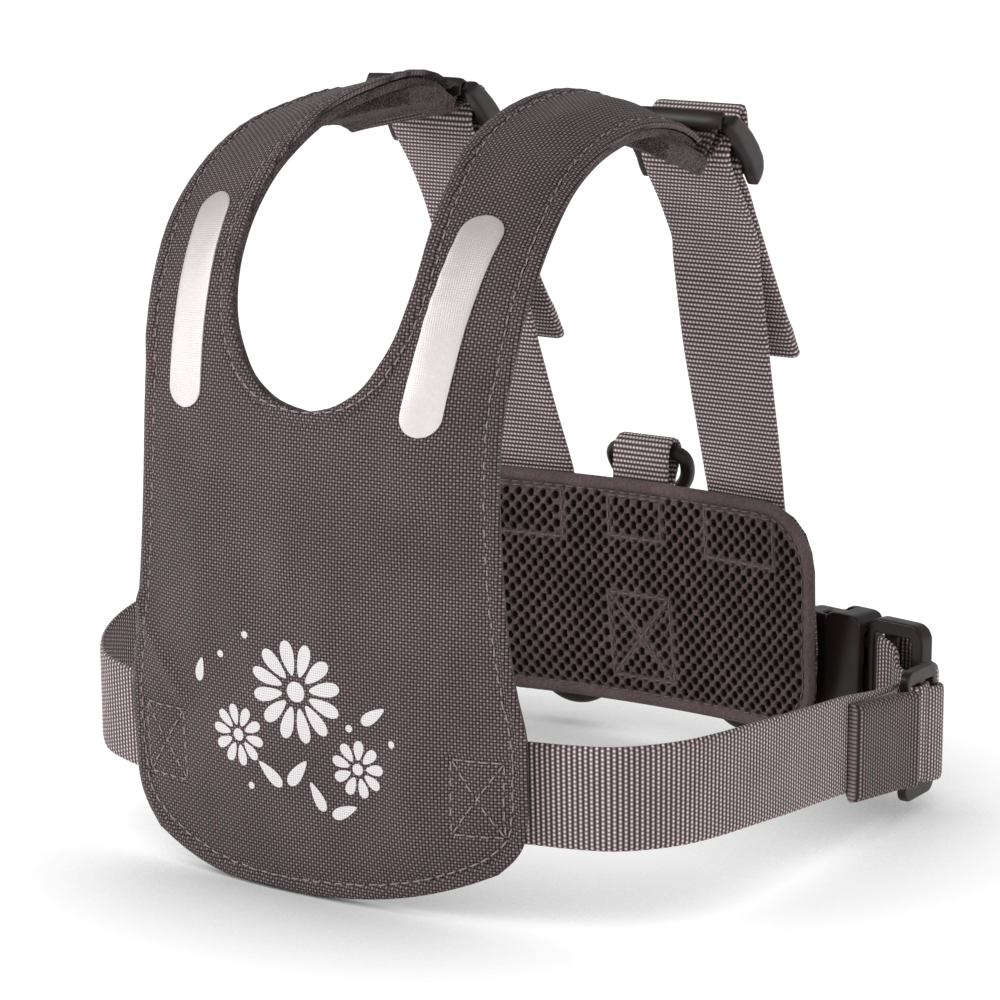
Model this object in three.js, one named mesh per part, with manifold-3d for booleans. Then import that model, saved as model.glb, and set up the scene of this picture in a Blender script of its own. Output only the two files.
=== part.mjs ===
// Toddler safety harness: a woven chest panel that runs on into two shoulder straps, and a mesh back pad,
// joined by webbings over the shoulders and round the waist. It keeps the form that it has when worn.
// Millimetres, +Z up, the chest towards -Y. The origin lies midway between the two shoulder straps, at
// the height of the padding under their tops.
import * as THREE from 'three';
import { mergeVertices } from 'three/addons/utils/BufferGeometryUtils.js';
import Module from 'manifold-3d';

const wasm = await Module();
wasm.setup();

// Driving sizes: cloth, webbing and clearances
const shellThick = 1.2;
const liningThick = 2.2;
const padThick = 3.8;
const padHemThick = 1.8;
const webbingThick = 1.6;
const tapeThick = 1.3;
const stripThick = 0.5;
const webbingWidth = 25;
const tapeWidth = 17;
const seat = 0.3;

// Driving sizes: chest panel and shoulder straps
const chestForward = 84;
const panelDrop = 180;
const panelHalfWidth = 56.5;
const neckHalfWidth = 25.5;
const chestWrap = 6.4;
const shoulderSlope = 2.4;
const hemRise = 9.5;
const hemSlant = 4;
const liningInset = 1.2;
const shoulderMiddle = 37.5;
const leftStrapLift = 4;

// Driving sizes: reflective strips
const stripWidth = 10;
const stripLength = 54;
const stripTop = 167.5;
const rightStripLean = 7.2;
const leftStripLean = 1.6;

// Driving sizes: back pad
const padHalfWidth = 57;
const padTop = -107;
const padHeight = 64;
const padCorner = 17;
const padBack = 65;
const padLean = 9;
const padWrap = 7.2;

// Driving sizes: ladder locks
const lockBack = 20.5;
const lockDown = 3.8;
const lockSlope = 44;
const lockLength = 21;
const lockWall = 3.6;
const lockBar = 1.5;
const lockHeight = 7;
const tabSewn = 10;
const slackRight = 6;
const slackLeft = 1.5;
const rightTail = 56;
const leftTail = 66;

// Driving sizes: waist webbing and buckles
const waistHeight = -148.7;
const waistReach = 89;
const waistSag = 10.5;
const leftWaistBow = 7;
const buckleHeight = 34;
const buckleThick = 10.5;
const femaleLength = 23;
const maleLength = 18.2;
const seamSide = 67.5;
const seamBack = 73.5;
const buckleTurn = -11.5;
const buckleLevel = -153;
const tailStopLength = 22;

// Driving sizes: triglides
const glideLength = 16.4;
const glideThick = 2.4;
const glideBar = 2;

// Driving sizes: D-rings
const rodRadius = 2.2;
const ringInside = 18.4;
const ringDrop = 14.2;
const ringCorner = 3;
const topRingUp = 7.2;
const lowRingSide = 26.5;
const lowRingDown = 52.6;
const tabLength = 17;

const fabric = () => new THREE.MeshStandardMaterial({ color: 0x504447, roughness: 0.9 });
const meshCloth = () => new THREE.MeshStandardMaterial({ color: 0x453b3d, roughness: 0.95 });
const webbing = () => new THREE.MeshStandardMaterial({ color: 0x7d7072, roughness: 0.8 });
const plastic = () => new THREE.MeshStandardMaterial({ color: 0x241d1f, roughness: 0.45 });
const reflective = () => new THREE.MeshStandardMaterial({ color: 0xd8d4d6, roughness: 0.5, metalness: 0.2 });

const harness = new THREE.Group();

function add(name, geometry, material, side = 1) {
  if (side < 0) {
    geometry.scale(-1, 1, 1);
    const index = geometry.index.array;
    for (let i = 0; i < index.length; i += 3) {
      [index[i], index[i + 1]] = [index[i + 1], index[i]];
    }
  }
  geometry.computeVertexNormals();
  const mesh = new THREE.Mesh(geometry, material);
  mesh.name = name;
  harness.add(mesh);
}

const turned = (degrees) => THREE.MathUtils.degToRad(degrees);
const point = (x, y, z) => new THREE.Vector3(x, y, z);

// Solids

// A cloth solid between two point sheets that share one list of four-sided cells
function closedSheet(front, back, cells) {
  const corners = [...front, ...back].flatMap((p) => [p.x, p.y, p.z]);
  const lower = front.length;
  const faces = [];
  const edges = new Map();
  for (const [a, b, c, d] of cells) {
    faces.push(a, b, c, a, c, d);
    faces.push(lower + a, lower + c, lower + b, lower + a, lower + d, lower + c);
    for (const [from, to] of [[a, b], [b, c], [c, d], [d, a]]) {
      if (!edges.delete(`${to} ${from}`)) edges.set(`${from} ${to}`, [from, to]);
    }
  }
  for (const [a, b] of edges.values()) {
    faces.push(a, lower + a, lower + b, a, lower + b, b);
  }
  const geometry = new THREE.BufferGeometry();
  geometry.setAttribute('position', new THREE.Float32BufferAttribute(corners, 3));
  geometry.setIndex(faces);
  return geometry;
}

// A strip of webbing along a route. Each station has a middle, the direction of its width and a thickness.
function ribbon(stations, width) {
  const front = [];
  const back = [];
  const cells = [];
  stations.forEach(({ at, across, thick }, i) => {
    const before = stations[Math.max(i - 1, 0)].at;
    const after = stations[Math.min(i + 1, stations.length - 1)].at;
    const ahead = after.clone().sub(before).normalize();
    const outward = across.clone().cross(ahead).normalize();
    for (const half of [-width / 2, width / 2]) {
      const edge = at.clone().addScaledVector(across, half);
      front.push(edge.clone().addScaledVector(outward, thick / 2));
      back.push(edge.clone().addScaledVector(outward, -thick / 2));
    }
    if (i > 0) cells.push([2 * i - 2, 2 * i - 1, 2 * i + 1, 2 * i]);
  });
  return closedSheet(front, back, cells);
}

// A curve through the points, with the same number of steps between each two of them
function smooth(points, steps = 2) {
  return new THREE.CatmullRomCurve3(points, false, 'centripetal').getPoints(steps * (points.length - 1));
}

function asSolid(geometry) {
  const bare = geometry.clone();
  bare.deleteAttribute('normal');
  bare.deleteAttribute('uv');
  const merged = mergeVertices(bare, 1e-4);
  return new wasm.Manifold(new wasm.Mesh({
    numProp: 3,
    vertProperties: new Float32Array(merged.attributes.position.array),
    triVerts: new Uint32Array(merged.index.array),
  }));
}

function asGeometry(solid) {
  const mesh = solid.getMesh();
  const geometry = new THREE.BufferGeometry();
  geometry.setAttribute('position', new THREE.BufferAttribute(new Float32Array(mesh.vertProperties), 3));
  geometry.setIndex(Array.from(mesh.triVerts));
  return geometry;
}

function block([x0, x1], [y0, y1], [z0, z1]) {
  const geometry = new THREE.BoxGeometry(x1 - x0, y1 - y0, z1 - z0);
  geometry.translate((x0 + x1) / 2, (y0 + y1) / 2, (z0 + z1) / 2);
  return asSolid(geometry);
}

// A bar along Z with a round section
function postAt(x, y, radius, [z0, z1]) {
  const geometry = new THREE.CylinderGeometry(radius, radius, z1 - z0, 12);
  geometry.rotateX(Math.PI / 2);
  geometry.translate(x, y, (z0 + z1) / 2);
  return asSolid(geometry);
}

// A plate with rounded corners in X and Z, and its thickness along Y
function roundedPlate([x0, x1], [z0, z1], radius, thick) {
  const shape = new THREE.Shape();
  shape.absarc(x1 - radius, z1 - radius, radius, 0, Math.PI / 2);
  shape.absarc(x0 + radius, z1 - radius, radius, Math.PI / 2, Math.PI);
  shape.absarc(x0 + radius, z0 + radius, radius, Math.PI, 1.5 * Math.PI);
  shape.absarc(x1 - radius, z0 + radius, radius, 1.5 * Math.PI, 2 * Math.PI);
  const geometry = new THREE.ExtrudeGeometry(shape, { depth: thick, bevelEnabled: false, curveSegments: 3 });
  geometry.rotateX(Math.PI / 2);
  geometry.translate(0, thick / 2, 0);
  return asSolid(geometry);
}

// Chest panel and shoulder straps

// Side profile of the panel, from its hem up and over the shoulder to the strap's end
const profileTable = [
  { forward: 0.964, up: -1 },
  { forward: 0.982, up: -0.889 },
  { forward: 1, up: -0.694 },
  { forward: 1, up: -0.528 },
  { forward: 0.988, up: -0.372 },
  { forward: 0.958, up: -0.278 },
  { forward: 0.905, up: -0.194 },
  { forward: 0.81, up: -0.111 },
  { forward: 0.667, up: -0.044 },
  { forward: 0.5, up: -0.003 },
  { forward: 0.321, up: 0.018 },
  { forward: 0.155, up: 0.025 },
  { forward: 0, up: 0.018 },
  { forward: -0.119, up: 0.002 },
  { forward: -0.202, up: -0.019 },
];
const profile = new THREE.CatmullRomCurve3(
  profileTable.map(({ forward, up }) => point(0, -forward * chestForward, up * panelDrop)),
  false,
  'centripetal',
);
profile.arcLengthDivisions = 400;
const panelRun = profile.getLength();

function bodyward(along) {
  const ahead = profile.getTangentAt(THREE.MathUtils.clamp(along / panelRun, 0, 1));
  return point(0, ahead.z, -ahead.y);
}

// The left strap was let out a little, so its end sits higher than the right one's
const strapLift = (side) => (side < 0 ? leftStrapLift : 0);

// A place on the panel: its distance from the middle, its distance up from the hem and its depth inward
function onPanel(x, along, depth, side = Math.sign(x)) {
  const share = THREE.MathUtils.clamp(along / panelRun, 0, 1);
  const place = profile.getPointAt(share);
  const drop = chestWrap + shoulderSlope * THREE.MathUtils.smoothstep(share, 0.5, 0.72);
  const wrap = drop * ((x * x - neckHalfWidth ** 2) / (panelHalfWidth ** 2 - neckHalfWidth ** 2));
  place.addScaledVector(bodyward(along), wrap + depth);
  place.x = x;
  place.z += strapLift(side) * THREE.MathUtils.smoothstep(share, 0.84, 1);
  return place;
}

// Edges of the panel, as shares of its run, of the neck's half width and of the panel's half width
const edgeTable = [
  { along: 0.045, neck: 0, side: 0.87 },
  { along: 0.052, neck: 0, side: 0.905 },
  { along: 0.06, neck: 0, side: 0.94 },
  { along: 0.074, neck: 0, side: 0.978 },
  { along: 0.093, neck: 0, side: 0.995 },
  { along: 0.117, neck: 0, side: 1 },
  { along: 0.172, neck: 0, side: 1 },
  { along: 0.215, neck: 0, side: 0.962 },
  { along: 0.262, neck: 0, side: 0.931 },
  { along: 0.308, neck: 0, side: 0.91 },
  { along: 0.355, neck: 0, side: 0.896 },
  { along: 0.402, neck: 0, side: 0.888 },
  { along: 0.452, neck: 0, side: 0.889 },
  { along: 0.459, neck: 0.3, side: 0.889 },
  { along: 0.468, neck: 0.47, side: 0.89 },
  { along: 0.48, neck: 0.62, side: 0.895 },
  { along: 0.502, neck: 0.77, side: 0.91 },
  { along: 0.527, neck: 0.89, side: 0.917 },
  { along: 0.556, neck: 0.96, side: 0.924 },
  { along: 0.584, neck: 0.995, side: 0.931 },
  { along: 0.615, neck: 1, side: 0.937 },
  { along: 0.648, neck: 0.99, side: 0.936 },
  { along: 0.682, neck: 0.968, side: 0.93 },
  { along: 0.72, neck: 0.92, side: 0.921 },
  { along: 0.77, neck: 0.9, side: 0.91 },
  { along: 0.825, neck: 0.89, side: 0.896 },
  { along: 0.88, neck: 0.905, side: 0.888 },
  { along: 0.93, neck: 0.95, side: 0.886 },
  { along: 0.962, neck: 0.98, side: 0.884 },
  { along: 0.981, neck: 1, side: 0.865 },
  { along: 0.993, neck: 1.03, side: 0.82 },
  { along: 1, neck: 1.1, side: 0.745 },
];
const panelColumns = [0, 0.16, 0.38, 0.62, 0.84, 1];
const hemTop = 0.117;

// One layer of the panel. Below the neck both halves share the middle column.
function panelLayer(inset, depth, thick) {
  const front = [];
  const back = [];
  const cells = [];
  const columns = panelColumns.length;
  const place = (x, along) => {
    front.push(onPanel(x, along, depth));
    back.push(onPanel(x, along, depth + thick));
    return front.length - 1;
  };
  const grid = edgeTable.map((row) => {
    const neckEdge = row.neck > 0 ? row.neck * neckHalfWidth + inset : 0;
    const sideEdge = row.side * panelHalfWidth - inset;
    const atEnd = row.along === 1 ? inset : 0;
    const halves = [1, -1].map((side) => panelColumns.map((share) => {
      const x = side * (neckEdge + (sideEdge - neckEdge) * share);
      let along = row.along * panelRun - atEnd;
      const top = hemTop * panelRun;
      if (along < top) {
        const hem = hemRise * share ** 2.6 + inset;
        along = top - (top - along) * ((top - hem) / (top - edgeTable[0].along * panelRun));
        along += hemSlant * (x / panelHalfWidth) * (1 - along / top);
      }
      return { x, along };
    }));
    const right = halves[0].map(({ x, along }) => place(x, along));
    const left = halves[1].map(({ x, along }, k) => (k === 0 && neckEdge === 0 ? right[0] : place(x, along)));
    return { right, left };
  });
  for (let i = 1; i < grid.length; i += 1) {
    for (let k = 1; k < columns; k += 1) {
      const [low, high] = [grid[i - 1], grid[i]];
      cells.push([low.right[k - 1], low.right[k], high.right[k], high.right[k - 1]]);
      const lowInner = low.left[k - 1];
      const highInner = high.left[k - 1];
      cells.push([low.left[k], lowInner, highInner, high.left[k]]);
    }
  }
  return closedSheet(front, back, cells);
}

add('chest_panel', panelLayer(0, 0, shellThick), fabric());
const liningDepth = shellThick + seat;
add('chest_lining', panelLayer(liningInset, liningDepth, liningThick), meshCloth());
const underPanel = liningDepth + liningThick + seat;

// Reflective strips: capsule-shaped, heat-bonded on the front of each strap
function reflectiveStrip(side) {
  const rows = [];
  const radius = stripWidth / 2;
  const lean = side > 0 ? rightStripLean : leftStripLean;
  const endAlong = stripTop - radius;
  const startAlong = endAlong - (stripLength - stripWidth);
  for (let i = 0; i <= 5; i += 1) {
    const angle = turned(8 + (82 * i) / 5);
    rows.push({ along: startAlong - radius * Math.cos(angle), half: radius * Math.sin(angle) });
  }
  for (let i = 1; i <= 7; i += 1) {
    rows.push({ along: startAlong + ((endAlong - startAlong) * i) / 8, half: radius });
  }
  for (let i = 0; i <= 5; i += 1) {
    const angle = turned(90 - (82 * i) / 5);
    rows.push({ along: endAlong + radius * Math.cos(angle), half: radius * Math.sin(angle) });
  }
  const front = [];
  const back = [];
  const cells = [];
  rows.forEach(({ along, half }, i) => {
    const middle = shoulderMiddle - lean * ((endAlong - along) / stripLength);
    [-1, -0.33, 0.33, 1].forEach((share) => {
      front.push(onPanel(middle + share * half, along, -seat - stripThick, side));
      back.push(onPanel(middle + share * half, along, -seat, side));
    });
    for (let k = 1; k < 4 && i > 0; k += 1) {
      cells.push([4 * i - 5 + k, 4 * i - 4 + k, 4 * i + k, 4 * i - 1 + k]);
    }
  });
  return closedSheet(front, back, cells);
}

// Back pad: spacer mesh towards the body, a plain shell behind it. Offsets run backward from the mesh face.
function padFace(x, z) {
  const down = (padTop - z) / padHeight;
  return padBack + padLean * Math.max(down, 0) ** 1.4 - padWrap * (x / padHalfWidth) ** 2;
}

// The pad thins towards its stitched hem
function padDepth(x, z) {
  const fromEdge = Math.min(padHalfWidth - Math.abs(x), padTop - z, z - padTop + padHeight);
  return padHemThick + (padThick - padHemThick) * THREE.MathUtils.smoothstep(fromEdge, 0, 0.5 * padCorner);
}

// A place behind the pad's shell, so many millimetres back from it
function behindPad(x, z, depth) {
  return point(x, padFace(x, z) + padDepth(x, z) + seat + shellThick + seat + depth, z);
}

function padLayer(inset, depthAt, thickAt) {
  const rows = [];
  const radius = padCorner - inset;
  const half = padHalfWidth - inset;
  for (let i = 0; i <= 5; i += 1) {
    const angle = turned(18 * i);
    rows.push({
      z: padTop - inset - radius * (1 - Math.cos(angle)),
      half: half - radius * (1 - Math.sin(angle)),
    });
  }
  for (const share of [0.4, 0.5, 0.6]) {
    rows.push({ z: padTop - share * padHeight, half: half - 0.4 });
  }
  for (let i = 5; i >= 0; i -= 1) {
    const angle = turned(18 * i);
    rows.push({
      z: padTop - padHeight + inset + radius * (1 - Math.cos(angle)),
      half: half - 1.5 - radius * (1 - Math.sin(angle)),
    });
  }
  const columns = [-1, -0.9, -0.7, -0.45, -0.15, 0.15, 0.45, 0.7, 0.9, 1];
  const front = [];
  const back = [];
  const cells = [];
  rows.forEach(({ z, half: reach }, i) => {
    columns.forEach((share, k) => {
      const x = share * reach;
      const inner = padFace(x, z) + depthAt(x, z);
      front.push(point(x, inner, z));
      back.push(point(x, inner + thickAt(x, z), z));
      if (i > 0 && k > 0) {
        const here = i * columns.length + k;
        cells.push([here - 1, here, here - columns.length, here - columns.length - 1]);
      }
    });
  });
  return closedSheet(front, back, cells);
}

add('back_pad', padLayer(0, () => 0, padDepth), meshCloth());
add('back_shell', padLayer(0.5, (x, z) => padDepth(x, z) + seat, () => shellThick), fabric());

// Ladder lock, seen from the side: u runs back and down along it, v stands up from it
const lockAhead = point(0, Math.cos(turned(lockSlope)), -Math.sin(turned(lockSlope)));
const lockUp = point(0, Math.sin(turned(lockSlope)), Math.cos(turned(lockSlope)));
const lockHalfInside = webbingWidth / 2 + 0.6;
const frontBar = 2;
const middleBar = 12.3;
const lipBar = lockLength - 1.2;

function atLock(u, v, side, x = shoulderMiddle) {
  const corner = point(x, lockBack, strapLift(side) - lockDown);
  return corner.addScaledVector(lockAhead, u).addScaledVector(lockUp, v);
}

function ladderLock(side) {
  const half = lockHalfInside + lockWall;
  const cheek = new THREE.Shape();
  cheek.moveTo(-0.6, -0.3 * lockHeight);
  cheek.lineTo(0.2, 0.32 * lockHeight);
  cheek.quadraticCurveTo(0.5 * lockLength, 0.75 * lockHeight, 0.84 * lockLength, 0.5 * lockHeight);
  cheek.quadraticCurveTo(1.06 * lockLength, 0.3 * lockHeight, lockLength, -0.5 * lockHeight);
  cheek.quadraticCurveTo(0.86 * lockLength, -0.5 * lockHeight, 0.72 * lockLength, -0.32 * lockHeight);
  cheek.quadraticCurveTo(0.4 * lockLength, -0.2 * lockHeight, -0.6, -0.3 * lockHeight);
  const body = [];
  for (const [from, to] of [[-half, -lockHalfInside], [lockHalfInside, half]]) {
    const options = { depth: to - from, bevelEnabled: false, curveSegments: 4 };
    const wall = new THREE.ExtrudeGeometry(cheek, options);
    wall.translate(0, 0, from);
    body.push(asSolid(wall));
  }
  const reach = lockHalfInside + 0.8;
  body.push(postAt(frontBar, 0, lockBar, [-reach, reach]));
  body.push(postAt(middleBar, 0, lockBar, [-reach, reach]));
  body.push(postAt(lipBar, 0.4, lockBar, [-reach, reach]));
  const geometry = asGeometry(wasm.Manifold.union(body));
  const placed = new THREE.Matrix4().makeBasis(lockAhead, lockUp, point(1, 0, 0));
  placed.setPosition(atLock(0, 0, side));
  return geometry.applyMatrix4(placed);
}

// Webbing tab: folded round the lock's front bar, both ends sewn under the strap's lining
function strapTab(side) {
  const bend = lockBar + seat + webbingThick / 2;
  const depthIn = underPanel + webbingThick / 2;
  const depthOut = depthIn + webbingThick + seat;
  const ends = [-webbingWidth / 2, webbingWidth / 2];
  const underStrap = (back, depth) => ends.map((x) => {
    return onPanel(shoulderMiddle + x, panelRun - back, depth, side);
  });
  const roundBar = (degrees, grow = 0) => ends.map((x) => {
    const middle = atLock(frontBar, 0, side, shoulderMiddle + x);
    const reach = bend + grow;
    return middle.add(point(0, -reach * Math.cos(turned(degrees)), reach * Math.sin(turned(degrees))));
  });
  const pairs = [
    underStrap(tabSewn, depthIn), underStrap(0.6 * tabSewn, depthIn), underStrap(4, depthIn),
    underStrap(1, depthIn),
    roundBar(-30, 0.9), roundBar(5), roundBar(48), roundBar(90), roundBar(135), roundBar(180),
    roundBar(225), roundBar(270, 0.8), underStrap(0.5, depthOut + 0.3), underStrap(0.5 * tabSewn, depthOut),
    underStrap(tabSewn, depthOut),
  ];
  const [from, to] = [0, 1].map((k) => smooth(pairs.map((pair) => pair[k])));
  const stations = from.map((edge, i) => {
    const across = to[i].clone().sub(edge).normalize();
    return { at: edge.clone().lerp(to[i], 0.5), across, thick: webbingThick };
  });
  return ribbon(stations, webbingWidth);
}

// Rear webbing: sewn on the pad's shell, up the back, round the lock's middle bar and down as a loose tail
function rearWebbing(side) {
  const [slack, tailLength] = side > 0 ? [slackRight, rightTail] : [slackLeft, leftTail];
  const inLock = (u, v) => atLock(u, v, side);
  const lift = webbingThick / 2 + 0.15;
  const padMiddle = shoulderMiddle - 4.5;
  const padTurn = point(1, (-2 * padWrap * padMiddle) / padHalfWidth ** 2, 0).normalize();
  const tail = (share, v) => inLock(lipBar + share * tailLength, v);
  const route = [
    behindPad(padMiddle, padTop - 20, lift), behindPad(padMiddle, padTop - 12, lift),
    behindPad(padMiddle, padTop - 5, lift), behindPad(padMiddle, padTop, lift + 0.4),
    point(padMiddle + 1, 0.935 * padBack, padTop + 18),
    point(padMiddle + 2, 0.8 * padBack, padTop + 42),
    point(padMiddle + 3.4, 0.675 * padBack, padTop + 66),
    inLock(38, -9.2), inLock(31, -7.4), inLock(25, -6.2), inLock(20, -5.6), inLock(14, -4.6),
    inLock(9.8, -2.8), inLock(8.3, 0.4), inLock(7.4, 0.35 * slack + 2.4),
    inLock(7.2, 0.85 * slack + 3.6), inLock(8.9, slack + 5.2), inLock(11.2, slack + 4.4),
    inLock(13.9, 0.6 * slack + 2.8), inLock(15.9, 1.2), inLock(16.3, -0.9), inLock(18, -2.2),
    inLock(lipBar + 0.8, -2.6), tail(0.09, -3.2), tail(0.2, -4.9), tail(0.325, -6.7), tail(0.52, -9.5),
    tail(0.7, -12), tail(0.86, -14), tail(1, -16),
  ];
  const places = smooth(route);
  const sewnUntil = 6;
  const foldFrom = places.length - 3;
  const stations = places.map((at, i) => {
    const turn = THREE.MathUtils.clamp((i - sewnUntil) / 4, 0, 1);
    const across = padTurn.clone().lerp(point(1, 0, 0), turn).normalize();
    return { at, across, thick: i >= foldFrom ? 2 * webbingThick : webbingThick };
  });
  return ribbon(stations, webbingWidth);
}

// Waist: webbing, triglide and side-release buckle

const buckleAcross = point(Math.cos(turned(buckleTurn)), Math.sin(turned(buckleTurn)), 0);
const buckleBack = point(-buckleAcross.y, buckleAcross.x, 0);
const maleBarRadius = 2;
const maleBar = 7;
const outerBar = maleLength - 1.75;
const railHalf = 2.3;

// A place by the buckle: m runs outward from the seam, k runs backward, z is measured from its level
function byBuckle(m, k, z = 0) {
  const seam = point(seamSide, seamBack, buckleLevel + z);
  return seam.addScaledVector(buckleAcross, m).addScaledVector(buckleBack, k);
}
const bucklePlace = new THREE.Matrix4().makeBasis(buckleAcross, buckleBack, point(0, 0, 1));
bucklePlace.setPosition(byBuckle(0, 0));

const slotHalf = webbingWidth / 2 + 0.6;
const waistLow = waistHeight - waistSag;
const waistDrop = waistLow - buckleLevel;
const glideBack = 0.66 * seamBack + 5.5;
const glideSide = 0.968 * waistReach;
const secondLayer = webbingThick + seat;
const glideOffset = secondLayer + webbingThick / 2 + seat + glideThick / 2 + 0.2;

// From behind the panel, round the side, round the male buckle's inner bar, back over the triglide's middle
// bar, and forward again as a tail with a folded stop
function waistWebbing(side) {
  const lift = webbingThick / 2;
  const wrap = maleBarRadius + seat + lift;
  const along = panelDrop + waistHeight;
  const sewn = [0.67, 0.83, 0.97].map((share) => {
    const place = onPanel(share * panelHalfWidth, along, underPanel + lift);
    place.z = waistHeight;
    return place;
  });
  const overBar = glideOffset + glideThick / 2 + seat + lift;
  const byGlide = (offset, back) => point(glideSide + offset, glideBack + back, waistLow);
  const slotMiddle = (glideLength / 2 - glideBar + glideBar / 2) / 2;
  const stop = glideLength / 2 + tailStopLength;
  const route = [
    ...sewn,
    point(0.82 * waistReach, -0.79 * chestForward, waistHeight),
    point(0.945 * waistReach, -0.62 * chestForward, waistHeight - 0.01 * waistSag),
    point(waistReach, -0.37 * chestForward, waistHeight - 0.05 * waistSag),
    point(1.006 * waistReach, -0.08 * chestForward, waistHeight - 0.26 * waistSag),
    point(waistReach, 0.21 * chestForward, waistHeight - 0.5 * waistSag),
    point(0.984 * waistReach, glideBack - 20, waistHeight - 0.78 * waistSag),
    point(0.972 * waistReach, glideBack - 9, waistLow + 0.08 * waistSag),
    byGlide(0, 0), byGlide(-0.5, 7),
    byBuckle(outerBar - 1.6, -6, waistDrop), byBuckle(outerBar - 4.4, -4.7, 0.8 * waistDrop),
    byBuckle(maleBar + 4.2, -3.9, 0.35 * waistDrop), byBuckle(maleBar + 1.2, -wrap - 0.3, 0.05 * waistDrop),
    byBuckle(maleBar - 0.7 * wrap, -0.75 * wrap), byBuckle(maleBar - wrap, 0),
    byBuckle(maleBar - 0.7 * wrap, 0.75 * wrap), byBuckle(maleBar + 1.2, wrap + 0.3, 0.05 * waistDrop),
    byBuckle(maleBar + 4.6, 3.9, 0.4 * waistDrop), byBuckle(outerBar - 3, 4.5, 0.8 * waistDrop),
    byBuckle(outerBar + 1, 4.1, 0.97 * waistDrop), byBuckle(outerBar + 3.3, 1.4, waistDrop),
    byBuckle(outerBar + 3.6, -2.4, waistDrop),
    byGlide(secondLayer + 0.7, glideLength / 2 + 1.8), byGlide(secondLayer, glideLength / 2 - 0.4),
    byGlide(secondLayer + 0.1, glideLength / 2 - 2.6),
    byGlide(glideOffset, slotMiddle), byGlide(overBar - 0.1, glideBar), byGlide(overBar + 0.1, 0),
    byGlide(overBar - 0.1, -glideBar), byGlide(glideOffset, -slotMiddle),
    byGlide(secondLayer + 0.1, 2.6 - glideLength / 2), byGlide(secondLayer, 0.4 - glideLength / 2),
    byGlide(secondLayer + 0.7, -glideLength / 2 - 1.6),
    byGlide(secondLayer + 1.5, -glideLength / 2 - 3).add(point(0, 0, 0.05 * waistSag)),
    byGlide(secondLayer + 2.2, -0.5 * stop - 4).add(point(0, 0, 0.13 * waistSag)),
    byGlide(secondLayer + 3, -stop).add(point(0, 0, 0.26 * waistSag)),
  ];
  // The left webbing bows up at the side of the waist
  const bowShares = [0, 0, 0, 0.15, 0.5, 0.9, 1, 0.8, 0.45, 0.15];
  const bow = side < 0 ? leftWaistBow : 0;
  bowShares.forEach((share, i) => {
    route[i].z += share * bow;
  });
  const places = smooth(route);
  const sewnUntil = 4;
  const stopFrom = places.length - 5;
  const panelSlope = bodyward(along);
  const panelUp = point(0, -panelSlope.z, panelSlope.y);
  const stations = places.map((at, i) => {
    const turn = THREE.MathUtils.clamp((i - sewnUntil) / 4, 0, 1);
    const across = panelUp.clone().lerp(point(0, 0, 1), turn).normalize();
    return { at, across, thick: i >= stopFrom ? 1.9 * webbingThick : webbingThick };
  });
  return ribbon(stations, webbingWidth);
}

function triglide() {
  const half = buckleHeight / 2;
  const reach = glideLength / 2;
  let body = roundedPlate([-reach, reach], [-half, half], 3, glideThick);
  for (const [from, to] of [[-reach + glideBar, -glideBar / 2], [glideBar / 2, reach - glideBar]]) {
    body = body.subtract(block([from, to], [-glideThick, glideThick], [-slotHalf, slotHalf]));
  }
  const geometry = asGeometry(body);
  const placed = new THREE.Matrix4().makeBasis(point(0, 1, 0), point(-1, 0, 0), point(0, 0, 1));
  placed.setPosition(point(glideSide + glideOffset, glideBack, waistLow));
  return geometry.applyMatrix4(placed);
}

function buckleMale() {
  const half = buckleHeight / 2;
  const thick = 2 * railHalf;
  const inside = [maleBar - maleBarRadius - 2.6, outerBar - 1.75];
  let body = roundedPlate([seat, maleLength], [-half, half], 4, thick);
  body = body.subtract(block(inside, [-thick, thick], [-slotHalf, slotHalf]));
  const parts = [body, postAt(maleBar, 0, maleBarRadius, [-slotHalf - 1, slotHalf + 1])];
  const tongue = 0.58 * femaleLength;
  parts.push(block([-tongue, seat + 0.8], [-1.5, 1.5], [-3, 3]));
  for (const side of [-1, 1]) {
    const arm = [side * 8.4, side * 11.6].sort((a, b) => a - b);
    parts.push(block([-tongue, seat + 0.8], [-2, 2], arm));
    const head = [side * 8.4, side * (half - 0.8)].sort((a, b) => a - b);
    parts.push(block([-tongue, -0.34 * femaleLength], [-2, 2], head));
  }
  return asGeometry(wasm.Manifold.union(parts)).applyMatrix4(bucklePlace);
}

const femaleBar = -femaleLength + 1.9;
const femaleBarDepth = 2.2;

function buckleFemale() {
  const half = buckleHeight / 2;
  const mouth = -0.34 * femaleLength;
  const ends = [-slotHalf, slotHalf];
  const thick = [-buckleThick, buckleThick];
  let body = roundedPlate([-femaleLength, 0], [-half + 1.4, half - 1.4], 4, 0.76 * buckleThick);
  body = body.add(roundedPlate([1.5 * mouth, 0], [-half, half], 3, buckleThick));
  body = body.subtract(block([-0.66 * femaleLength, 1], [-2.7, 2.7], [-12.4, 12.4]));
  body = body.subtract(block([-0.62 * femaleLength, mouth], [-2.7, 2.7], [-half - 1, half + 1]));
  body = body.subtract(block([femaleBar + 1.6, femaleBar + 5.6], thick, ends));
  for (const side of [-1, 1]) {
    const outside = [side * femaleBarDepth, side * buckleThick].sort((a, b) => a - b);
    body = body.subtract(block([-femaleLength - 1, femaleBar + 3], outside, ends));
  }
  return asGeometry(body).applyMatrix4(bucklePlace);
}

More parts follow.
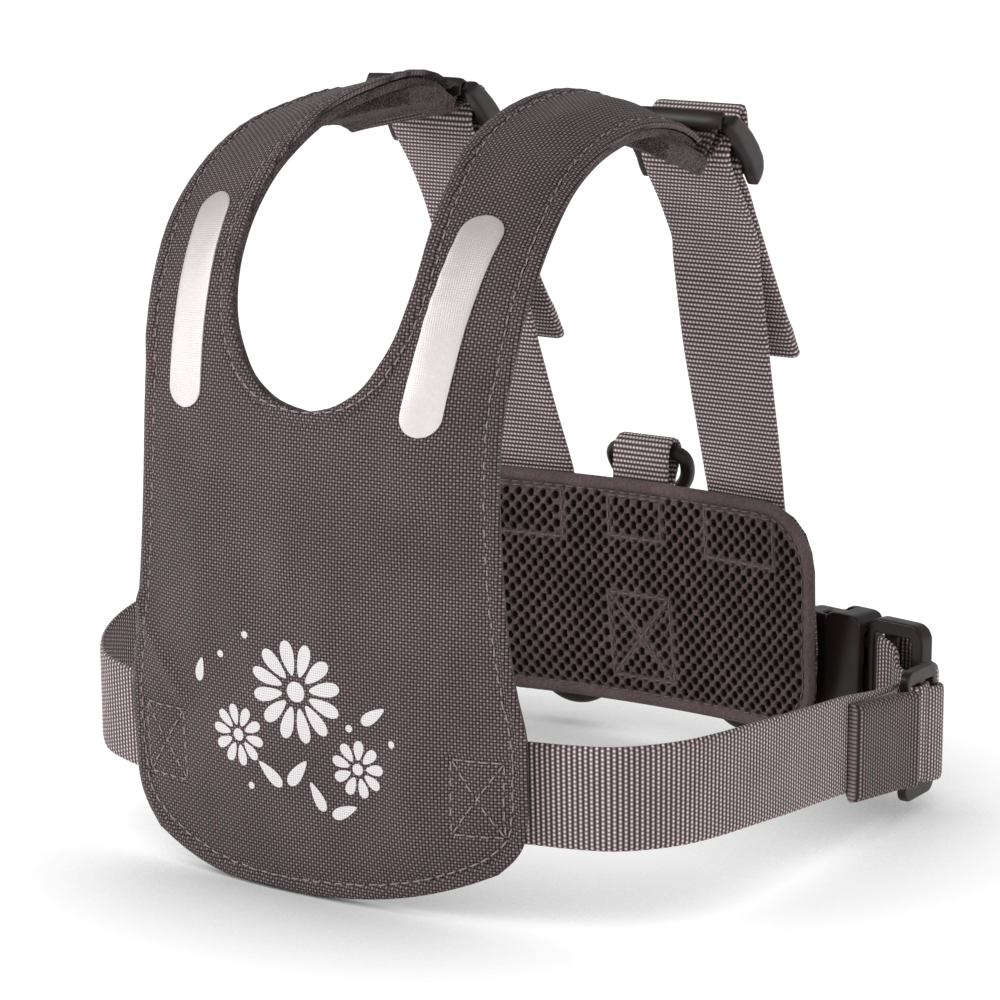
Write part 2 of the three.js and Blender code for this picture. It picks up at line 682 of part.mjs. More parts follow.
// Lower back webbing: across the shell, round the bar of each female buckle and back on itself
function backWebbing() {
  const lift = webbingThick / 2;
  const offShell = 0.15;
  const onShell = (share, depth) => behindPad(share * padHalfWidth, buckleLevel, lift + offShell + depth);
  const wrap = femaleBarDepth + seat + lift;
  const rightSide = [
    byBuckle(femaleBar - 4.5, -wrap - 1.2), byBuckle(femaleBar - 0.6, -wrap - 0.3),
    byBuckle(femaleBar + 2.2, -wrap + 0.1),
    byBuckle(femaleBar + 3.2, 0), byBuckle(femaleBar + 2.2, wrap - 0.1),
    byBuckle(femaleBar - 0.6, wrap + 0.3),
    byBuckle(femaleBar - 3.4, 0.6 * wrap), onShell(0.76, secondLayer + 0.1), onShell(0.7, secondLayer),
  ];
  const leftSide = rightSide.map((p) => point(-p.x, p.y, p.z)).reverse();
  const middle = [-0.66, -0.5, -0.25, 0, 0.25, 0.5, 0.66].map((share) => onShell(share, 0));
  const below = behindPad(0, buckleLevel - webbingWidth / 2, 0);
  const lean = behindPad(0, buckleLevel + webbingWidth / 2, 0).sub(below).normalize();
  const stations = smooth([...leftSide, ...middle, ...rightSide]).map((at) => {
    const upright = THREE.MathUtils.smoothstep(Math.abs(at.x), 0.66 * padHalfWidth, 0.8 * padHalfWidth);
    return { at, across: lean.clone().lerp(point(0, 0, 1), upright).normalize(), thick: webbingThick };
  });
  return ribbon(stations, webbingWidth);
}

// D-rings of round rod, each with its bar in a folded tape

const tapeBend = rodRadius + 1.6 * seat + tapeThick / 2;

function dRing() {
  const half = ringInside / 2 + rodRadius;
  const route = [];
  for (let i = 0; i <= 3; i += 1) {
    const angle = turned(90 - 30 * i);
    const [x, z] = [ringCorner * Math.cos(angle), ringCorner * Math.sin(angle)];
    route.push([half - ringCorner + x, z - ringCorner]);
  }
  for (let i = 1; i < 12; i += 1) {
    const angle = turned(-15 * i);
    route.push([half * Math.cos(angle), -ringCorner + (ringDrop - ringCorner) * Math.sin(angle)]);
  }
  for (let i = 3; i >= 0; i -= 1) {
    const angle = turned(90 + 30 * i);
    const [x, z] = [ringCorner * Math.cos(angle), ringCorner * Math.sin(angle)];
    route.push([ringCorner - half + x, z - ringCorner]);
  }
  const sides = 8;
  const corners = [];
  const faces = [];
  route.forEach(([x, z], i) => {
    const [beforeX, beforeZ] = route[(i + route.length - 1) % route.length];
    const [afterX, afterZ] = route[(i + 1) % route.length];
    const out = point(beforeZ - afterZ, 0, afterX - beforeX).normalize();
    for (let k = 0; k < sides; k += 1) {
      const angle = (2 * Math.PI * k) / sides;
      const here = i * sides + k;
      const next = ((i + 1) % route.length) * sides + k;
      const turn = k === sides - 1 ? 1 - sides : 1;
      corners.push(x + rodRadius * Math.cos(angle) * out.x);
      corners.push(rodRadius * Math.sin(angle));
      corners.push(z + rodRadius * Math.cos(angle) * out.z);
      faces.push(here, next, here + turn, next, next + turn, here + turn);
    }
  });
  const geometry = new THREE.BufferGeometry();
  geometry.setAttribute('position', new THREE.Float32BufferAttribute(corners, 3));
  geometry.setIndex(faces);
  return geometry;
}

function tape(route, across = point(1, 0, 0)) {
  return ribbon(smooth(route).map((at) => ({ at, across, thick: tapeThick })), tapeWidth);
}

const barArc = (middle, from, to, steps) => Array.from({ length: steps + 1 }, (unused, i) => {
  const angle = turned(from + ((to - from) * i) / steps);
  return point(middle.x, middle.y + tapeBend * Math.cos(angle), middle.z + tapeBend * Math.sin(angle));
});

// Top ring: its tape stands up over the pad's top edge, and the ring hangs behind the pad and leans on the
// tape's sewn end
const topRing = behindPad(0, padTop, tapeThick + 3.4);
topRing.z = padTop + topRingUp;
const topLean = 25;

function topTape() {
  const first = tapeThick / 2;
  const second = first + tapeThick + seat;
  return tape([
    behindPad(0, padTop - tabLength, first), behindPad(0, padTop - 9, first),
    behindPad(0, padTop - 2.5, first), behindPad(0, padTop + 1.5, first + 0.3),
    ...barArc(topRing, 176, -30, 8),
    behindPad(0, padTop - 3.4, second + 0.8), behindPad(0, padTop - 8, second + 0.1),
    behindPad(0, padTop - 12, second), behindPad(0, padTop - tabLength, second),
  ]);
}

// Lower rings: their tapes hang from the back webbing, and the rings reach just below the pad's hem
const lowStack = secondLayer + tapeThick + seat + rodRadius;
const lowRing = behindPad(lowRingSide, padTop - lowRingDown, lowStack);
const lowTurn = Math.atan((-2 * padWrap * lowRingSide) / padHalfWidth ** 2);
const lowAcross = point(Math.cos(lowTurn), Math.sin(lowTurn), 0);

function lowTape() {
  const onWebbing = (up, depth) => behindPad(lowRingSide, lowRing.z + up, secondLayer + depth);
  const first = tapeThick / 2;
  const second = first + tapeThick + seat;
  return tape([
    onWebbing(tabLength + 2.6, first + 0.2), onWebbing(13, first + 0.1), onWebbing(5, first),
    ...barArc(lowRing, 180, 375, 8),
    onWebbing(6.2, second + 1), onWebbing(13, second + 0.1), onWebbing(tabLength + 2.6, second + 0.2),
  ], lowAcross);
}

// Assembly: what is in pairs is made once and mirrored

add('back_webbing', backWebbing(), webbing());
add('top_ring_tape', topTape(), webbing());
add('top_ring', dRing().rotateX(turned(topLean)).translate(topRing.x, topRing.y, topRing.z), plastic());
for (const [name, side] of [['right', 1], ['left', -1]]) {
  add(`reflective_strip_${name}`, reflectiveStrip(side), reflective(), side);
  add(`ladder_lock_${name}`, ladderLock(side), plastic(), side);
  add(`strap_tab_${name}`, strapTab(side), webbing(), side);
  add(`rear_webbing_${name}`, rearWebbing(side), webbing(), side);
  add(`waist_webbing_${name}`, waistWebbing(side), webbing(), side);
  add(`triglide_${name}`, triglide(), plastic(), side);
  add(`buckle_male_${name}`, buckleMale(), plastic(), side);
  add(`buckle_female_${name}`, buckleFemale(), plastic(), side);
  add(`low_ring_tape_${name}`, lowTape(), webbing(), side);
  const lowest = dRing().rotateZ(lowTurn).translate(lowRing.x, lowRing.y, lowRing.z);
  add(`low_ring_${name}`, lowest, plastic(), side);
}

export default harness;
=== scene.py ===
# Toddler safety harness: a woven chest panel with shoulder straps, a mesh back pad, webbings, buckles and
# rings, in the form that it has when worn. Metres, +Z up, the chest towards -Y.
import math

import bmesh
import bpy
import numpy as np
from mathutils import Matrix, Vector, noise


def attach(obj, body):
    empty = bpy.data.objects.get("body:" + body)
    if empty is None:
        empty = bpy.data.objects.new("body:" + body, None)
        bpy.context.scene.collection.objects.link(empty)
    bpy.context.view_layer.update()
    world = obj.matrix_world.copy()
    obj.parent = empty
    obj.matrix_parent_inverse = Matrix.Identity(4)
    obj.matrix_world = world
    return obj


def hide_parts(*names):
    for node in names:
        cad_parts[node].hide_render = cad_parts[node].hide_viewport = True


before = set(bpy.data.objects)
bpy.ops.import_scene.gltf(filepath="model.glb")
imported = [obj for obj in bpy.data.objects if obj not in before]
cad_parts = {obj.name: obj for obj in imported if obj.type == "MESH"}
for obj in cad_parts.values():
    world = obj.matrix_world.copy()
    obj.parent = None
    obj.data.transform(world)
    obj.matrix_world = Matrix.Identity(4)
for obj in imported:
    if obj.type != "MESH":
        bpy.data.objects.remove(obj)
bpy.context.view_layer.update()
bpy.ops.object.select_all(action="DESELECT")
mm = 0.001

# Studio
# The harness hangs as if worn, just clear of a white floor, under wide soft lights.
floor_level = -180.6 * mm
bpy.ops.mesh.primitive_plane_add(size=9, location=(0, 0, floor_level))
floor = bpy.context.object
floor.name = "floor"
paint = bpy.data.materials.new("white_floor")
paint.use_nodes = True
coat = paint.node_tree.nodes["Principled BSDF"]
coat.inputs["Base Color"].default_value = (0.25, 0.25, 0.25, 1)
coat.inputs["Roughness"].default_value = 0.9
coat.inputs["Specular IOR Level"].default_value = 0.1
coat.inputs["Emission Color"].default_value = (1, 1, 1, 1)
# The floor glows to a clean white, but ambient occlusion dims its glow close under the harness: a painted
# shadow
painted_shadow_occlusion = paint.node_tree.nodes.new("ShaderNodeAmbientOcclusion")
painted_shadow_occlusion.samples = 6
painted_shadow_occlusion.inputs["Distance"].default_value = 0.08
glow_less_painted_shadow = paint.node_tree.nodes.new("ShaderNodeMapRange")
glow_less_painted_shadow.inputs["From Min"].default_value = 0.28
glow_less_painted_shadow.inputs["From Max"].default_value = 0.96
glow_less_painted_shadow.inputs["To Min"].default_value = 0.0
glow_less_painted_shadow.inputs["To Max"].default_value = 0.95
paint.node_tree.links.new(painted_shadow_occlusion.outputs["AO"], glow_less_painted_shadow.inputs["Value"])
paint.node_tree.links.new(glow_less_painted_shadow.outputs[0], coat.inputs["Emission Strength"])
floor.data.materials.append(paint)

scene = bpy.context.scene
scene.view_settings.view_transform = "Standard"
sky = bpy.data.worlds.new("studio_sky")
sky.use_nodes = True
backdrop = sky.node_tree.nodes["Background"]
backdrop.inputs["Color"].default_value = (1, 1, 1, 1)
rays = sky.node_tree.nodes.new("ShaderNodeLightPath")
glow = sky.node_tree.nodes.new("ShaderNodeMapRange")
glow.inputs["To Max"].default_value = 1.05
sky.node_tree.links.new(rays.outputs["Is Camera Ray"], glow.inputs["Value"])
sky.node_tree.links.new(glow.outputs[0], backdrop.inputs["Strength"])
heaven = sky.node_tree.nodes.new("ShaderNodeTexCoord")
rise = sky.node_tree.nodes.new("ShaderNodeSeparateXYZ")
fade = sky.node_tree.nodes.new("ShaderNodeMapRange")
fade.inputs["To Min"].default_value = 0.78
fade.inputs["To Max"].default_value = 0.34
sky.node_tree.links.new(heaven.outputs["Generated"], rise.inputs[0])
sky.node_tree.links.new(rise.outputs[2], fade.inputs["Value"])
sky.node_tree.links.new(fade.outputs[0], glow.inputs["To Min"])
scene.world = sky


def soft_light(name, place, size, power):
    bpy.ops.object.light_add(type="AREA", location=place)
    light = bpy.context.object
    light.name = name
    light.data.size = size
    light.data.energy = power
    toward = Vector((0, 0, -0.1)) - Vector(place)
    light.rotation_euler = toward.to_track_quat("-Z", "Y").to_euler()


soft_light("key_light", (-1.15, -1.3, 0.75), 0.8, 24)
soft_light("side_light", (1.6, -0.7, 0.4), 0.7, 7)

azimuth = math.radians(32.55)
elevation = math.radians(12.46)
camera_distance = 0.9016
look_at = Vector((0, 0, -0.1))
toward_camera = Vector((
    math.sin(azimuth) * math.cos(elevation),
    -math.cos(azimuth) * math.cos(elevation),
    math.sin(elevation),
))
bpy.ops.object.camera_add(location=look_at + camera_distance * toward_camera)
camera = bpy.context.object
camera.rotation_euler = (-toward_camera).to_track_quat("-Z", "Y").to_euler()
camera.data.sensor_width = 36
camera.data.lens = 129.74
scene.camera = camera

# Chest panel
# One piece of heavy plain-woven cloth with turned, topstitched hems, which runs on into both shoulder
# straps. Its sizes repeat those of the solid under it, but its strap ends have fuller corners.
chest_forward = 84 * mm
panel_drop = 180 * mm
panel_half = 56.5 * mm
neck_half = 25.5 * mm
chest_wrap = 6.4 * mm
shoulder_slope = 2.4 * mm
left_lift = 4 * mm
hem_rise = 9.5 * mm
hem_slant = 4 * mm
hem_top = 0.117
shell_thick = 1.2 * mm
seat = 0.3 * mm

profile_forward = [0.964, 0.982, 1, 1, 0.988, 0.958, 0.905, 0.81, 0.667, 0.5, 0.321, 0.155, 0, -0.119, -0.202]
profile_up = [
    -1, -0.889, -0.694, -0.528, -0.372, -0.278, -0.194, -0.111, -0.044, -0.003, 0.018, 0.025, 0.018, 0.002,
    -0.019,
]
side_along = [
    0.045, 0.052, 0.06, 0.074, 0.093, 0.117, 0.172, 0.215, 0.262, 0.308, 0.355, 0.402, 0.452, 0.48, 0.502,
    0.527, 0.556, 0.584, 0.615, 0.648, 0.682, 0.72, 0.77, 0.825, 0.88, 0.93, 0.962, 0.981, 0.993, 1,
]
side_width = [
    0.87, 0.905, 0.94, 0.978, 0.995, 1, 1, 0.962, 0.931, 0.91, 0.896, 0.888, 0.889, 0.895, 0.91,
    0.917, 0.924, 0.931, 0.937, 0.936, 0.93, 0.921, 0.91, 0.896, 0.888, 0.886, 0.884, 0.884, 0.88, 0.85,
]
neck_along = [
    0.452, 0.459, 0.468, 0.48, 0.502, 0.527, 0.556, 0.584, 0.615, 0.648, 0.682, 0.72, 0.77, 0.825, 0.88, 0.93,
    0.962, 0.981, 0.993, 1,
]
neck_width = [
    0, 0.3, 0.47, 0.62, 0.77, 0.89, 0.96, 0.995, 1, 0.99, 0.968, 0.92, 0.9, 0.89, 0.905, 0.95, 0.965, 0.965,
    0.96, 0.98,
]


def smooth_curve(points, steps):
    given = np.asarray(points, float)
    wide = np.vstack([2 * given[0] - given[1], given, 2 * given[-1] - given[-2]])
    curve = []
    for p0, p1, p2, p3 in zip(wide, wide[1:], wide[2:], wide[3:]):
        d0, d1, d2 = (max(np.linalg.norm(b - a) ** 0.5, 1e-3) for a, b in ((p0, p1), (p1, p2), (p2, p3)))
        leave = ((p1 - p0) / d0 - (p2 - p0) / (d0 + d1) + (p2 - p1) / d1) * d1
        arrive = ((p2 - p1) / d1 - (p3 - p1) / (d1 + d2) + (p3 - p2) / d2) * d1
        for t in np.arange(steps) / steps:
            curve.append(
                (2 * t**3 - 3 * t**2 + 1) * p1 + (t**3 - 2 * t**2 + t) * leave
                + (3 * t**2 - 2 * t**3) * p2 + (t**3 - t**2) * arrive
            )
    curve.append(given[-1])
    return np.array(curve)


def lengths_along(curve):
    return np.concatenate([[0], np.cumsum(np.linalg.norm(np.diff(curve, axis=0), axis=1))])


def eased(value, low, high):
    share = np.clip((value - low) / (high - low), 0, 1)
    return share * share * (3 - 2 * share)


profile = smooth_curve(
    [(-f * chest_forward, u * panel_drop) for f, u in zip(profile_forward, profile_up)], 40
)
profile_run = lengths_along(profile)
panel_run = profile_run[-1]
profile_ahead = np.gradient(profile, profile_run, axis=0)
profile_ahead /= np.linalg.norm(profile_ahead, axis=1)[:, None]


def on_panel(x, along, depth, side=None):
    """Places on the panel: x from the middle, along from the hem up, depth toward the body."""
    x, along, depth = np.broadcast_arrays(np.asarray(x, float), along, depth)
    side = np.sign(x) if side is None else side
    y, z, ahead_y, ahead_z = (
        np.interp(along, profile_run, column)
        for column in (profile[:, 0], profile[:, 1], profile_ahead[:, 0], profile_ahead[:, 1])
    )
    share = along / panel_run
    drop = chest_wrap + shoulder_slope * eased(share, 0.5, 0.72)
    inward = drop * (x**2 - neck_half**2) / (panel_half**2 - neck_half**2) + depth
    lift = np.where(side < 0, left_lift, 0) * eased(share, 0.84, 1)
    return np.stack([x, y + ahead_z * inward, z - ahead_y * inward + lift], axis=-1)


side_curve = smooth_curve([(a * panel_run, w * panel_half) for a, w in zip(side_along, side_width)], 6)
neck_curve = smooth_curve([(a * panel_run, w * neck_half) for a, w in zip(neck_along, neck_width)], 6)
row_marks = np.sort(np.concatenate([side_curve[:, 0], neck_curve[:, 0]]))
rows = [row_marks[0]]
for mark in row_marks[1:]:
    if mark - rows[-1] > 0.55 * mm:
        extra = int((mark - rows[-1]) // (1.3 * mm))
        rows += [rows[-1] + (mark - rows[-1]) * (i + 1) / (extra + 1) for i in range(extra)]
        rows.append(mark)
rows[-1] = panel_run
neck_start = neck_along[0] * panel_run
rows = np.array(rows)
rows[np.argmin(np.abs(rows - neck_start))] = neck_start


def flat_place(row, share, side, inset=0.0):
    """A place in the flat cut of the panel, from a row, a share of the way out from the neck, and a side."""
    neck = np.where(row > neck_start, np.interp(row, neck_curve[:, 0], neck_curve[:, 1]) + inset, 0)
    out = np.interp(row, side_curve[:, 0], side_curve[:, 1]) - inset
    x = side * (neck + (out - neck) * share)
    top = hem_top * panel_run
    hem = hem_rise * share**2.6 + inset
    low = top - (top - row) * (top - hem) / (top - rows[0])
    low = low + hem_slant * (x / panel_half) * (1 - low / top)
    along = np.where(row < top, low, row - np.where(row >= panel_run - 1e-9, inset, 0))
    return np.stack([x, along], axis=-1)


columns = np.linspace(0, 1, 34)
neck_rows = rows[rows >= neck_start]


def outline(inset=0.0):
    right = np.vstack([
        flat_place(rows[0], columns, 1, inset),
        flat_place(rows[1:-1], 1.0, 1, inset),
        flat_place(rows[-1], columns[::-1], 1, inset),
        flat_place(neck_rows[1:-1][::-1], 0.0, 1, inset),
    ])
    left = np.vstack([
        flat_place(neck_rows[:-1], 0.0, -1, inset),
        flat_place(rows[-1], columns, -1, inset),
        flat_place(rows[1:-1][::-1], 1.0, -1, inset),
        flat_place(rows[0], columns[::-1], -1, inset)[:-1],
    ])
    return np.vstack([right, left])


panel_outline = outline()
outline_run = lengths_along(panel_outline)


def nearest_edge(flat):
    """Distance from the cut edge, and where along the edge that is."""
    distance = np.empty(len(flat))
    where = np.empty(len(flat))
    for start in range(0, len(flat), 2000):
        part = flat[start:start + 2000]
        gaps = np.linalg.norm(part[:, None, :] - panel_outline[None, :, :], axis=2)
        near = gaps.argmin(axis=1)
        distance[start:start + 2000] = gaps[np.arange(len(part)), near]
        where[start:start + 2000] = outline_run[near]
    return distance, where


hem_width = 3.6 * mm
hem_height = 0.55 * mm
edge_roll = 0.45 * mm
stitch_pull = 0.42 * mm
pucker_height = 0.24 * mm
pucker_length = 5.3 * mm
fold_height = 2.6 * mm
box_pull = 0.5 * mm
crease_height = 1.1 * mm
crease_start = np.array([-53.5, 64]) * mm
crease_end = np.array([-39, 43]) * mm
box_corners = np.array([(38.5, 21), (51, 21), (51, 39), (38.5, 39)]) * mm


def gap_to_line(flat, start, end):
    ahead = end - start
    share = np.clip(((flat - start) @ ahead) / (ahead @ ahead), 0, 1)
    return np.linalg.norm(flat - start - share[:, None] * ahead, axis=1)


def box_lines(corners):
    pairs = ((0, 1), (1, 2), (2, 3), (3, 0), (0, 2), (1, 3))
    return [(corners[a], corners[b]) for a, b in pairs]


def panel_relief(flat):
    """How far the cloth stands out: rolled hems, the pull of the stitching and soft folds."""
    distance, where = nearest_edge(flat)
    x, along = flat[:, 0], flat[:, 1]
    out = hem_height * (1 - eased(distance, 0.7 * hem_width, hem_width))
    out -= edge_roll * (1 - eased(distance, 0, 0.9 * mm))
    out -= stitch_pull * np.exp(-(((distance - hem_width) / (0.6 * mm)) ** 2))
    pull = np.exp(-(((distance - hem_width) / (2.4 * mm)) ** 2))
    wander = 2.2 * np.sin(where / (13 * mm))
    out += pucker_height * pull * np.sin(2 * math.pi * where / pucker_length + wander)
    soft = np.array([
        noise.noise(Vector((px / 0.03, pa / 0.045, 1.7)))
        + 0.4 * noise.noise(Vector((px / 0.011, pa / 0.016, 5)))
        for px, pa in flat
    ])
    soft = np.where(soft < 0, 0.35 * soft, soft)
    out += fold_height * soft * eased(distance, 0, 16 * mm)
    for side in (1, -1):
        mirrored = np.stack([side * x, along], axis=1)
        for start, end in box_lines(box_corners):
            out -= box_pull * np.exp(-((gap_to_line(mirrored, start, end) / (0.9 * mm)) ** 2))
    crease = gap_to_line(flat, crease_start, crease_end)
    out += crease_height * np.exp(-((crease / (1.9 * mm)) ** 2))
    return out


def grid_sheet(name, across, up, place, flat):
    """A grid primitive whose points go to their places, with a UV map in millimetres."""
    bpy.ops.mesh.primitive_grid_add(x_subdivisions=across, y_subdivisions=up, size=1)
    sheet = bpy.context.object
    sheet.name = name
    mesh = sheet.data
    spots = np.empty(len(mesh.vertices) * 3)
    mesh.vertices.foreach_get("co", spots)
    spots = spots.reshape(-1, 3)
    column = np.rint((spots[:, 0] + 0.5) * across).astype(int)
    row = np.rint((spots[:, 1] + 0.5) * up).astype(int)
    mesh.vertices.foreach_set("co", place[row, column].ravel())
    corner = np.empty(len(mesh.loops), int)
    mesh.loops.foreach_get("vertex_index", corner)
    mesh.uv_layers[0].data.foreach_set("uv", (flat[row, column] / mm)[corner].ravel())
    mesh.update()
    return sheet


def pick(piece):
    bpy.ops.object.select_all(action="DESELECT")
    piece.select_set(True)
    bpy.context.view_layer.objects.active = piece


def edit_all(sheet):
    pick(sheet)
    bpy.ops.object.mode_set(mode="EDIT")
    bpy.ops.mesh.select_all(action="SELECT")


def apply_modifiers(piece):
    pick(piece)
    for modifier in list(piece.modifiers):
        bpy.ops.object.modifier_apply(modifier=modifier.name)


def new_piece(name, mesh):
    piece = bpy.data.objects.new(name, mesh)
    bpy.context.collection.objects.link(piece)
    return piece


def joined(name, parts):
    bpy.ops.object.select_all(action="DESELECT")
    for part in parts:
        part.select_set(True)
    bpy.context.view_layer.objects.active = parts[0]
    bpy.ops.object.join()
    whole = bpy.context.object
    whole.name = name
    whole.data.name = name
    return whole


def smoothed(piece, angle=50):
    pick(piece)
    bpy.ops.object.shade_smooth_by_angle(angle=math.radians(angle))


def rounded_edges(piece, width, segments, angle=30):
    edge = piece.modifiers.new("edge", "BEVEL")
    edge.width = width
    edge.segments = segments
    edge.limit_method = "ANGLE"
    edge.angle_limit = math.radians(angle)


def thickened(piece, thick, offset=-1):
    wall = piece.modifiers.new("wall", "SOLIDIFY")
    wall.thickness = thick
    wall.offset = offset


def rounded_sheet(piece, thick, width, segments=2, offset=-1, angle=30):
    """Gives a sheet its thickness, with rounded edges."""
    thickened(piece, thick, offset)
    rounded_edges(piece, width, segments, angle)
    apply_modifiers(piece)
    smoothed(piece)


def turn_toward(piece, way):
    """Flips a sheet's normals if they point away from the given way."""
    if sum((p.normal for p in piece.data.polygons), Vector()).dot(way) < 0:
        piece.data.flip_normals()


def panel_layer(name, inset, depth, thick, relief):
    halves = []
    for side in (1, -1):
        flat = np.stack([flat_place(row, columns, side, inset) for row in rows])
        if relief:
            out = panel_relief(flat.reshape(-1, 2)).reshape(flat.shape[:2])
        else:
            out = np.zeros(flat.shape[:2])
        place = on_panel(flat[..., 0], flat[..., 1], depth - out, side)
        if side < 0:
            place, flat = place[:, ::-1], flat[:, ::-1]
        halves.append(grid_sheet(name, len(columns) - 1, len(rows) - 1, place, flat))
    layer = joined(name, halves)
    edit_all(layer)
    bpy.ops.mesh.remove_doubles(threshold=0.02 * mm)
    bpy.ops.mesh.normals_make_consistent(inside=False)
    bpy.ops.object.mode_set(mode="OBJECT")
    outward = sum((p.normal for p in layer.data.polygons if p.center.z < -0.1), Vector())
    if outward.y > 0:
        layer.data.flip_normals()
    rounded_sheet(layer, thick, 0.28 * thick, angle=50)
    return layer


def new_material(name):
    material = bpy.data.materials.new(name)
    material.use_nodes = True
    tree = material.node_tree
    return material, tree, tree.nodes["Principled BSDF"]


def node(tree, kind, **settings):
    made = tree.nodes.new(kind)
    for key, value in settings.items():
        if key.startswith("in_"):
            made.inputs[int(key[3:])].default_value = value
        else:
            setattr(made, key, value)
    return made


def maths(tree, operation, first, second=None, third=None):
    made = tree.nodes.new("ShaderNodeMath")
    made.operation = operation
    for socket, value in zip(made.inputs, (first, second, third)):
        if value is None:
            continue
        if isinstance(value, (int, float)):
            socket.default_value = value
        else:
            tree.links.new(value, socket)
    return made.outputs[0]


def new_group(name, inputs, outputs):
    group = bpy.data.node_groups.new(name, "ShaderNodeTree")
    for label, kind, value in inputs:
        socket = group.interface.new_socket(label, in_out="INPUT", socket_type=kind)
        if value is not None:
            socket.default_value = value
    for label, kind in outputs:
        group.interface.new_socket(label, in_out="OUTPUT", socket_type=kind)
    return group, group.nodes.new("NodeGroupInput"), group.nodes.new("NodeGroupOutput")


# Yarn never dyes evenly: this varies a colour in soft patches and in fine flecks
mottle, mottle_in, mottle_out = new_group(
    "yarn_mottle",
    [
        ("Position", "NodeSocketVector", None),
        ("Patch Scale", "NodeSocketFloat", 40.0),
        ("Fleck Scale", "NodeSocketFloat", 1500.0),
        ("Amount", "NodeSocketFloat", 0.2),
    ],
    [("Factor", "NodeSocketFloat")],
)
patches = node(mottle, "ShaderNodeTexNoise")
flecks = node(mottle, "ShaderNodeTexNoise")
patches.inputs["Detail"].default_value = 3
flecks.inputs["Detail"].default_value = 2
mottle.links.new(mottle_in.outputs["Position"], patches.inputs["Vector"])
mottle.links.new(mottle_in.outputs["Position"], flecks.inputs["Vector"])
mottle.links.new(mottle_in.outputs["Patch Scale"], patches.inputs["Scale"])
mottle.links.new(mottle_in.outputs["Fleck Scale"], flecks.inputs["Scale"])
both = maths(mottle, "ADD", patches.outputs["Fac"], flecks.outputs["Fac"])
centred = maths(mottle, "SUBTRACT", both, 1.0)
varied = maths(mottle, "MULTIPLY_ADD", centred, mottle_in.outputs["Amount"], 1.0)
mottle.links.new(varied, mottle_out.inputs["Factor"])

# Plain weave in a UV map of millimetres: crossing threads that rise and dip in turn
weave, weave_in, weave_out = new_group(
    "plain_weave",
    [
        ("Map", "NodeSocketVector", None),
        ("Across", "NodeSocketFloat", 0.55),
        ("Along", "NodeSocketFloat", 0.55),
    ],
    [("Height", "NodeSocketFloat"), ("Weft", "NodeSocketFloat")],
)
weave_axes = node(weave, "ShaderNodeSeparateXYZ")
weave.links.new(weave_in.outputs["Map"], weave_axes.inputs[0])
waves = []
for axis, pitch in ((0, "Across"), (1, "Along")):
    turns = maths(weave, "DIVIDE", weave_axes.outputs[axis], weave_in.outputs[pitch])
    waves.append(maths(weave, "COSINE", maths(weave, "MULTIPLY", turns, math.pi)))
crossing = maths(weave, "MULTIPLY", waves[0], waves[1])
weave.links.new(maths(weave, "POWER", maths(weave, "ABSOLUTE", crossing), 0.8), weave_out.inputs["Height"])
weft = maths(weave, "MULTIPLY_ADD", crossing, 0.5, 0.5)
weave.links.new(weft, weave_out.inputs["Weft"])


def group_node(tree, group, **values):
    made = tree.nodes.new("ShaderNodeGroup")
    made.node_tree = group
    for label, value in values.items():
        socket = made.inputs[label.replace("_", " ")]
        if isinstance(value, (int, float)):
            socket.default_value = value
        else:
            tree.links.new(value, socket)
    return made


def mottled(tree, patch, fleck, amount):
    """The mottle's factor in the piece's own space, with patches and flecks of the given scales."""
    place = node(tree, "ShaderNodeTexCoord").outputs["Object"]
    made = group_node(tree, mottle, Position=place, Patch_Scale=patch, Fleck_Scale=fleck, Amount=amount)
    return made.outputs[0]


def over_piece(tree, kind, **settings):
    """A texture in the piece's own space."""
    made = node(tree, kind, **settings)
    tree.links.new(node(tree, "ShaderNodeTexCoord").outputs["Object"], made.inputs[0])
    return made


def ramp(tree, factor, stops):
    made = tree.nodes.new("ShaderNodeValToRGB")
    tree.links.new(factor, made.inputs[0])
    while len(made.color_ramp.elements) < len(stops):
        made.color_ramp.elements.new(0.5)
    for element, (spot, colour) in zip(made.color_ramp.elements, stops):
        element.position = spot
        element.color = (*colour, 1)
    return made.outputs[0]


def shaded(tree, colour, factor):
    mix = tree.nodes.new("ShaderNodeVectorMath")
    mix.operation = "SCALE"
    tree.links.new(colour, mix.inputs[0])
    tree.links.new(factor, mix.inputs["Scale"])
    return mix.outputs[0]


def bumped(tree, surface, height, distance, strength=1.0):
    made = tree.nodes.new("ShaderNodeBump")
    made.inputs["Distance"].default_value = distance
    made.inputs["Strength"].default_value = strength
    tree.links.new(height, made.inputs["Height"])
    tree.links.new(made.outputs[0], surface.inputs["Normal"])


def sheen(surface, roughness, specular, weight):
    surface.inputs["Roughness"].default_value = roughness
    surface.inputs["Specular IOR Level"].default_value = specular
    surface.inputs["Sheen Weight"].default_value = weight


def woven_cloth(name, dark, mid, light):
    material, tree, surface = new_material(name)
    cut = node(tree, "ShaderNodeUVMap")
    threads = group_node(tree, weave, Map=cut.outputs[0], Across=0.78, Along=0.78)
    uneven = mottled(tree, 55.0, 1300.0, 0.55)
    # Colour by thread height: darker in the gaps between threads, lighter on the raised weft floats; painted
    # shade and highlight at thread scale
    over = maths(tree, "MULTIPLY_ADD", threads.outputs["Weft"], 0.62, 0.38)
    raised = maths(tree, "MULTIPLY", threads.outputs["Height"], over)
    colour = ramp(tree, raised, [(0.1, dark), (0.4, mid), (1.0, light)])
    tree.links.new(shaded(tree, colour, uneven), surface.inputs["Base Color"])
    sheen(surface, 0.58, 0.16, 0.03)
    bumped(tree, surface, threads.outputs["Height"], 0.25 * mm, 0.8)
    return material


panel_cloth = woven_cloth(
    "woven_panel_cloth", (0.006, 0.003, 0.0035), (0.118, 0.086, 0.092), (0.3, 0.235, 0.247)
)
panel = panel_layer("chest_panel_cloth", 0, 0, shell_thick, True)
panel.data.materials.append(panel_cloth)
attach(panel, "harness")
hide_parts("chest_panel")

